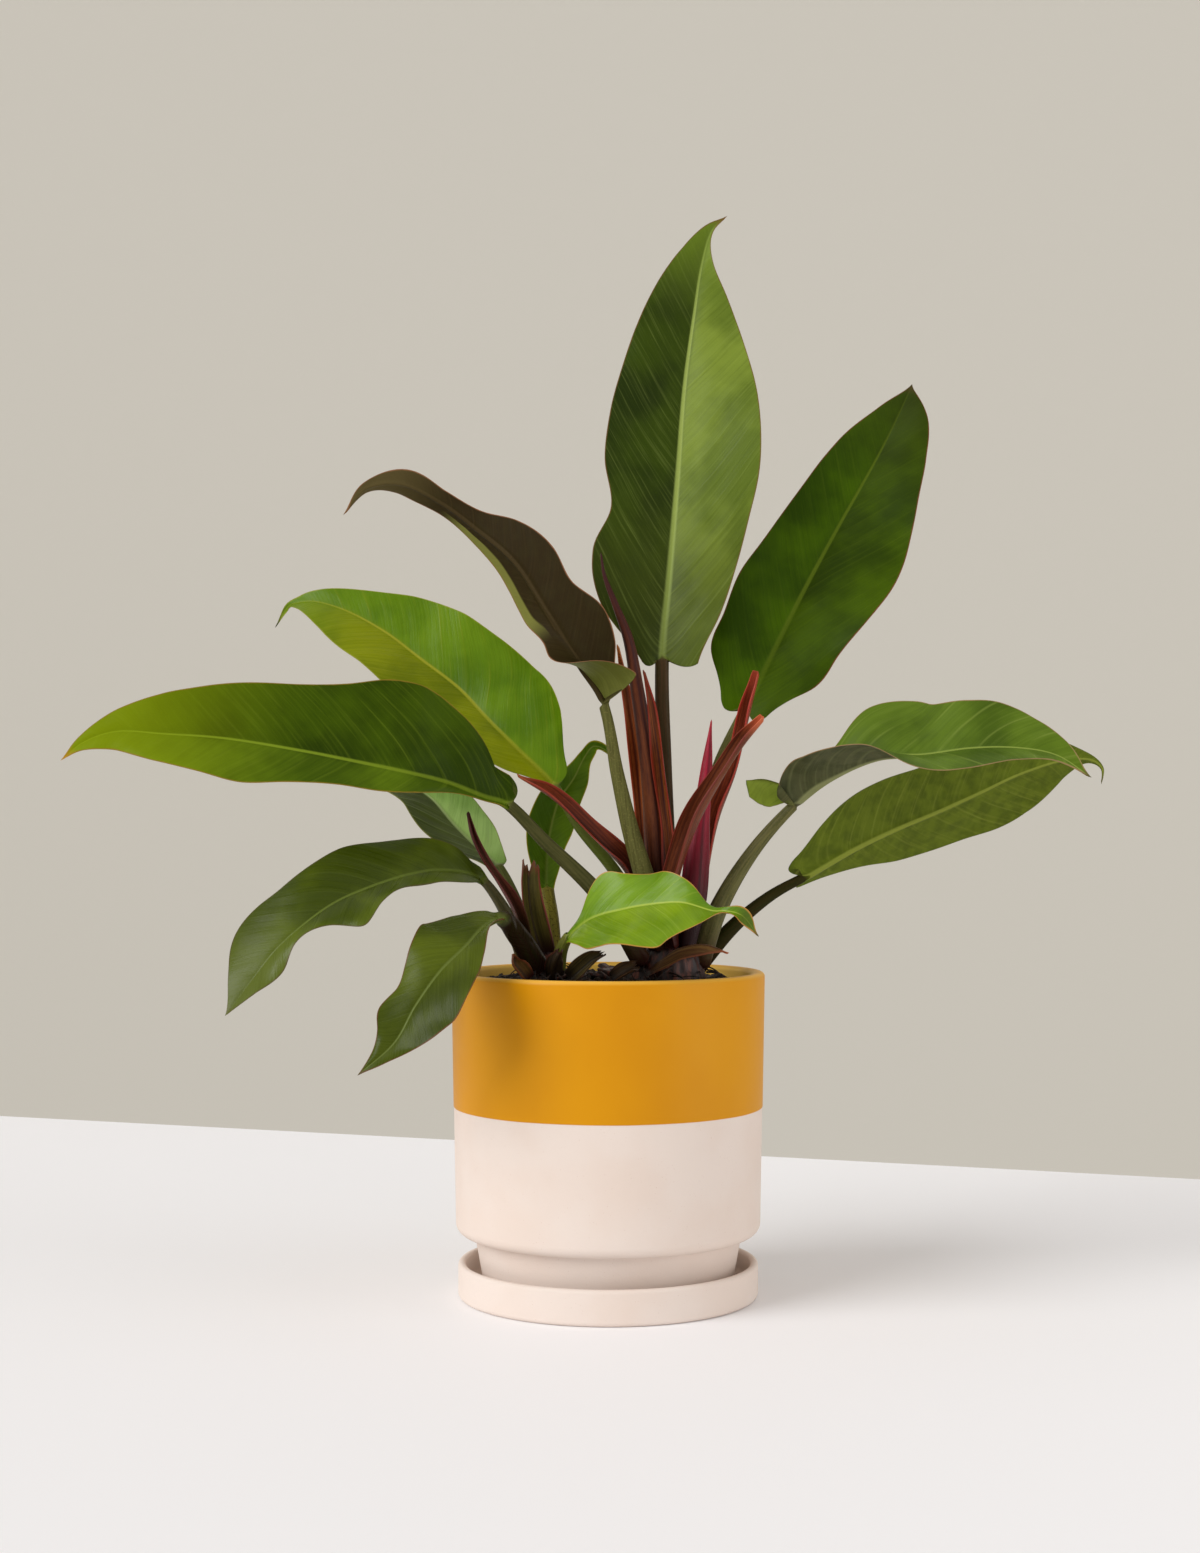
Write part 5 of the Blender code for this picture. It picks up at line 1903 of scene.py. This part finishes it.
SHEATHS = (
    Sheath("sheath_left_groove", Slot.RED_SHEATH,
        route=((17, 2, 50), (10, -2, 63), (0, -8, 74), (-15, -13, 89), (-31, -17, 103), (-49, -18, 114)),
        face=((0.2, -0.75, 0.6),),
        lamina=Tongue(left=(6, 7, 8, 7, 6, 4, 0), right=(6, 7, 8, 7, 6, 4, 0), fold_left=(30,),
        fold_right=(30,), curl=35, seed=21),
        finish=SheathFinish(dark=(78, 26, 10), light=(122, 52, 22), edge=(146, 52, 34), tip=(150, 82, 40))),
    Sheath("sheath_orange_tip", Slot.RED_SHEATH,
        route=((22, 8, 50), (19, 8, 80), (15, 8, 128), (10, 7, 161), (5, 7, 186)),
        face=((-0.3, -0.9, 0.2),),
        lamina=Tongue(left=(4, 4, 4, 4, 4, 3, 0), right=(4, 4, 4, 4, 4, 3, 0), fold_left=(30,),
        fold_right=(30,), curl=30, seed=22),
        finish=SheathFinish(dark=(104, 44, 18), light=(150, 82, 38), edge=(160, 66, 38),
        tip=(196, 124, 60))),
    Sheath("sheath_inner_strip", Slot.RED_SHEATH,
        route=((36, -7, 44), (34, -10, 68), (31, -9, 95), (27, -8, 128), (23, -7, 155), (19, -6, 171)),
        face=((-0.4, -0.9, 0.1),),
        lamina=Tongue(left=(5, 5, 4, 4, 4, 3, 0), right=(5, 5, 4, 4, 4, 3, 0), fold_left=(25,),
        fold_right=(25,), curl=30, seed=23),
        finish=SheathFinish(dark=(66, 24, 10), light=(128, 68, 26), edge=(132, 38, 24), tip=(104, 48, 26))),
    Sheath("sheath_right_groove", Slot.RED_SHEATH,
        route=((48, 3, 23), (51, 6, 46), (55, 9, 72), (60, 10, 92), (68, 9, 114), (75, 6, 142),
        (82, 4, 171)), face=((-0.5, -0.8, 0.4),),
        lamina=Tongue(left=(6, 6, 7, 7, 7, 6, 5, 3), right=(6, 6, 7, 7, 7, 6, 5, 3), fold_left=(35,),
        fold_right=(35,), curl=40, seed=24),
        finish=SheathFinish(dark=(100, 38, 18), light=(148, 66, 34), edge=(172, 54, 42), tip=(160, 66, 42),
        base=(44, 12, 10), base_reach=0.2)),
    Sheath("sheath_front_right", Slot.RED_SHEATH,
        route=((36, -18, 20), (35, -21, 38), (36, -23, 57), (45, -25, 84), (58, -27, 109), (70, -28, 128),
        (83, -28, 144)), face=((-0.6, -0.7, 0.5),),
        lamina=Tongue(left=(5, 8, 9, 9, 8, 7, 6, 3), right=(5, 8, 9, 9, 8, 7, 6, 3), fold_left=(35,),
        fold_right=(35,), curl=50, seed=25),
        finish=SheathFinish(dark=(82, 36, 18), light=(126, 64, 34), edge=(110, 38, 24), tip=(204, 104, 66),
        base=(56, 16, 10), base_reach=0.25)),
    Sheath("sheath_torn_stub", Slot.OLIVE_SHEATH,
        route=((-35, -10, 16), (-39, -10, 28), (-42, -10, 42), (-43, -10, 54), (-43, -10, 65)),
        face=((0.3, -0.9, 0.3),),
        lamina=Tongue(left=(8, 9, 9, 8, 7), right=(8, 9, 9, 8, 7), fold_left=(25,), fold_right=(25,),
        curl=50, torn=4, seed=26),
        finish=SheathFinish(dark=(64, 58, 22), light=(102, 92, 40), edge=(132, 56, 52), tip=(110, 60, 40),
        base=(46, 24, 16))),
    Sheath("sheath_dried_curl", Slot.RED_SHEATH,
        route=((-43.7, -20, 25.5), (-50, -23, 43), (-58, -23, 57), (-66, -23, 69), (-72, -22, 81),
        (-75, -22, 94)), face=((0.3, -0.9, 0.3),),
        lamina=Tongue(left=(4, 5, 5, 3, 3, 2, 0), right=(4, 5, 5, 3, 3, 2, 0), fold_left=(30,),
        fold_right=(30,), curl=60, seed=27),
        finish=SheathFinish(dark=(58, 26, 18), light=(98, 52, 36), edge=(80, 30, 24), tip=(52, 24, 18),
        base=(60, 40, 20))),
    Sheath("scale_front_brown", Slot.BROWN_SCALE,
        route=((20, -19, 9), (28, -31, 16), (38, -38, 22), (51, -44, 24), (63, -48, 20)),
        face=((0, -0.6, 0.8),),
        lamina=Tongue(left=(6, 8, 7, 5, 0), right=(6, 8, 7, 5, 0), fold_left=(-20,), fold_right=(-20,),
        curl=-40, seed=28),
        finish=SheathFinish(dark=(86, 52, 30), light=(136, 100, 52), edge=(148, 84, 56), tip=(204, 118, 76),
        base=(52, 22, 20))),
    Sheath("bract_side_left", Slot.OLIVE_SHEATH,
        route=((-42, -34, 2.6), (-46, -36, 7.6), (-49, -37, 11.6), (-50, -37, 16.6)),
        face=((0.3, -0.8, 0.5),), rooted=True,
        lamina=Tongue(left=(4, 5, 4, 0), right=(4, 5, 4, 0), fold_left=(20,), fold_right=(20,), curl=30,
        seed=29),
        finish=SheathFinish(dark=(70, 54, 24), light=(116, 84, 44), edge=(140, 78, 52), tip=(150, 96, 60))),
    Sheath("bract_side_front", Slot.BROWN_SCALE,
        route=((-28, -25, 4.5), (-29, -29, 10), (-28, -32, 15), (-26, -33, 20)), face=((0, 1, 0.3),),
        lamina=Tongue(left=(6, 6, 5, 2), right=(6, 6, 5, 2), fold_left=(20,), fold_right=(20,), curl=40,
        torn=2, seed=30),
        finish=SheathFinish(dark=(30, 20, 14), light=(62, 48, 26), edge=(96, 48, 38), tip=(70, 40, 30),
        base=(30, 16, 12))),
    Sheath("stub_cut_leaf", Slot.BROWN_SCALE,
        route=((-20, -38, 2.5), (-14, -39, 8), (-8, -40, 13), (-3, -40, 16)), face=((0.4, -0.6, 0.7),),
        rooted=True,
        lamina=Tongue(left=(5, 6, 5, 2), right=(5, 6, 5, 2), fold_left=(20,), fold_right=(20,), curl=40,
        torn=2, seed=31),
        finish=SheathFinish(dark=(46, 38, 18), light=(84, 72, 36), edge=(70, 48, 28), tip=(52, 36, 22),
        base=(30, 22, 14))),
    Sheath("stub_cut_low", Slot.BROWN_SCALE,
        route=((2, -36, 1.9), (8, -38, 5.8), (15, -39, 8.8)), face=((0, -0.7, 0.7),), rooted=True,
        lamina=Tongue(left=(4, 5, 3), right=(4, 5, 3), fold_left=(15,), fold_right=(15,), curl=30, torn=2,
        seed=32),
        finish=SheathFinish(dark=(52, 36, 20), light=(92, 70, 38), edge=(76, 50, 30), tip=(60, 40, 26),
        base=(30, 20, 14))),
)

BASE_LOBES = (
    BaseLobe("leaf_big_right_lobe",
        slot=Slot.LEAF_GREEN,
        route=((101, 5, 106), (93, 7, 109), (85, 6, 111), (75, 2, 111)), face=((0, -1, 0.15),),
        lamina=Lamina(left=(8, 12, 14, 14.5, 14.5, 13.5, 9), right=(0.8, 0.8, 0.8, 0), fold_left=(10,),
        arch=14, rib=0.3, rib_width=1, groove=0, columns=21, seed=40),
        finish=LeafFinish(left=(134, 150, 52), right=(134, 150, 52), rib=(134, 150, 52), under=(81, 83, 54),
        under_rib=(81, 83, 54), stalk=(92, 106, 34), margin=(120, 120, 60), tip=(92, 106, 34),
        rib_width=0.5, vein_show=0.1, reflection=0.1)),
)

SPIKES = (
    Spike("new_leaf_rolled", Slot.RED_SHEATH,
        route=((31, -3, 20), (30, -1, 36), (27, 0, 60), (24, -1, 100), (20, -1, 133), (16, -1, 160),
        (11, -1, 188), (4, -1, 207), (-2, -1, 223), (-4, -1, 236)),
        sizes=(4, 5, 6, 5.6, 4.6, 4.2, 3.6, 2.8, 1.6, 0.5),
        finish=SheathFinish(dark=(60, 22, 12), light=(118, 60, 26), edge=(84, 26, 16), tip=(56, 20, 20),
        base=(48, 14, 10), stripes=0.5, tip_reach=0.55),
        seed=33),
    Spike("sheath_pink_spike", Slot.PINK_SHEATH,
        route=((42, -15, 20), (46, -15, 50), (49, -12, 82), (52, -10, 106), (56, -8, 144)),
        sizes=(4.6, 7.2, 6.8, 4.6, 3, 0.4),
        # Darker towards the bottom over most of its length: its own burgundy base and painted shade.
        finish=SheathFinish(dark=(128, 12, 32), light=(166, 30, 56), edge=(110, 10, 24), tip=(160, 34, 48),
        base=(34, 4, 6), base_reach=0.8, stripes=0.4),
        furl=0.1, seed=34),
)

CROWNS = (
    Crown("main_crown", centre=(33, -5), radii=(22, 19), height=27, ridges=17),
    Crown("side_crown", centre=(-34, -11), radii=(14, 12), height=19, ridges=13),
)

ROOTLETS = (
    Rootlet("rootlet_back_left", bearing=196, inset=11, length=17, rise=3),
    Rootlet("rootlet_front_left", bearing=238, inset=38, length=13, rise=7),
    Rootlet("rootlet_front_right", bearing=305, inset=20, length=16, rise=1.6),
    Rootlet("rootlet_far_right", bearing=340, inset=12, length=14, rise=3),
)




def main() -> None:
    """Build the studio, the pot, the soil and the plant in order."""
    logging.basicConfig(level=logging.INFO, format="%(message)s")
    Studio().make()
    pot = PotAndSaucer()
    pot.saucer()
    pot.pot()
    soil = PottingSoil(pot)
    soil.make()
    level = soil.edge - PLANTING_DROP
    soil.old_roots(CROWNS, level)
    for crown in CROWNS:
        crown.make(level)
    for leaf in LEAVES:
        leaf.make(level)
    for lobe in BASE_LOBES:
        lobe.make(level)
    for sheath in SHEATHS:
        sheath.make(soil, level)
    for spike in SPIKES:
        spike.make(level)
    for rootlet in ROOTLETS:
        rootlet.make(soil, level)


if __name__ == "__main__":
    main()
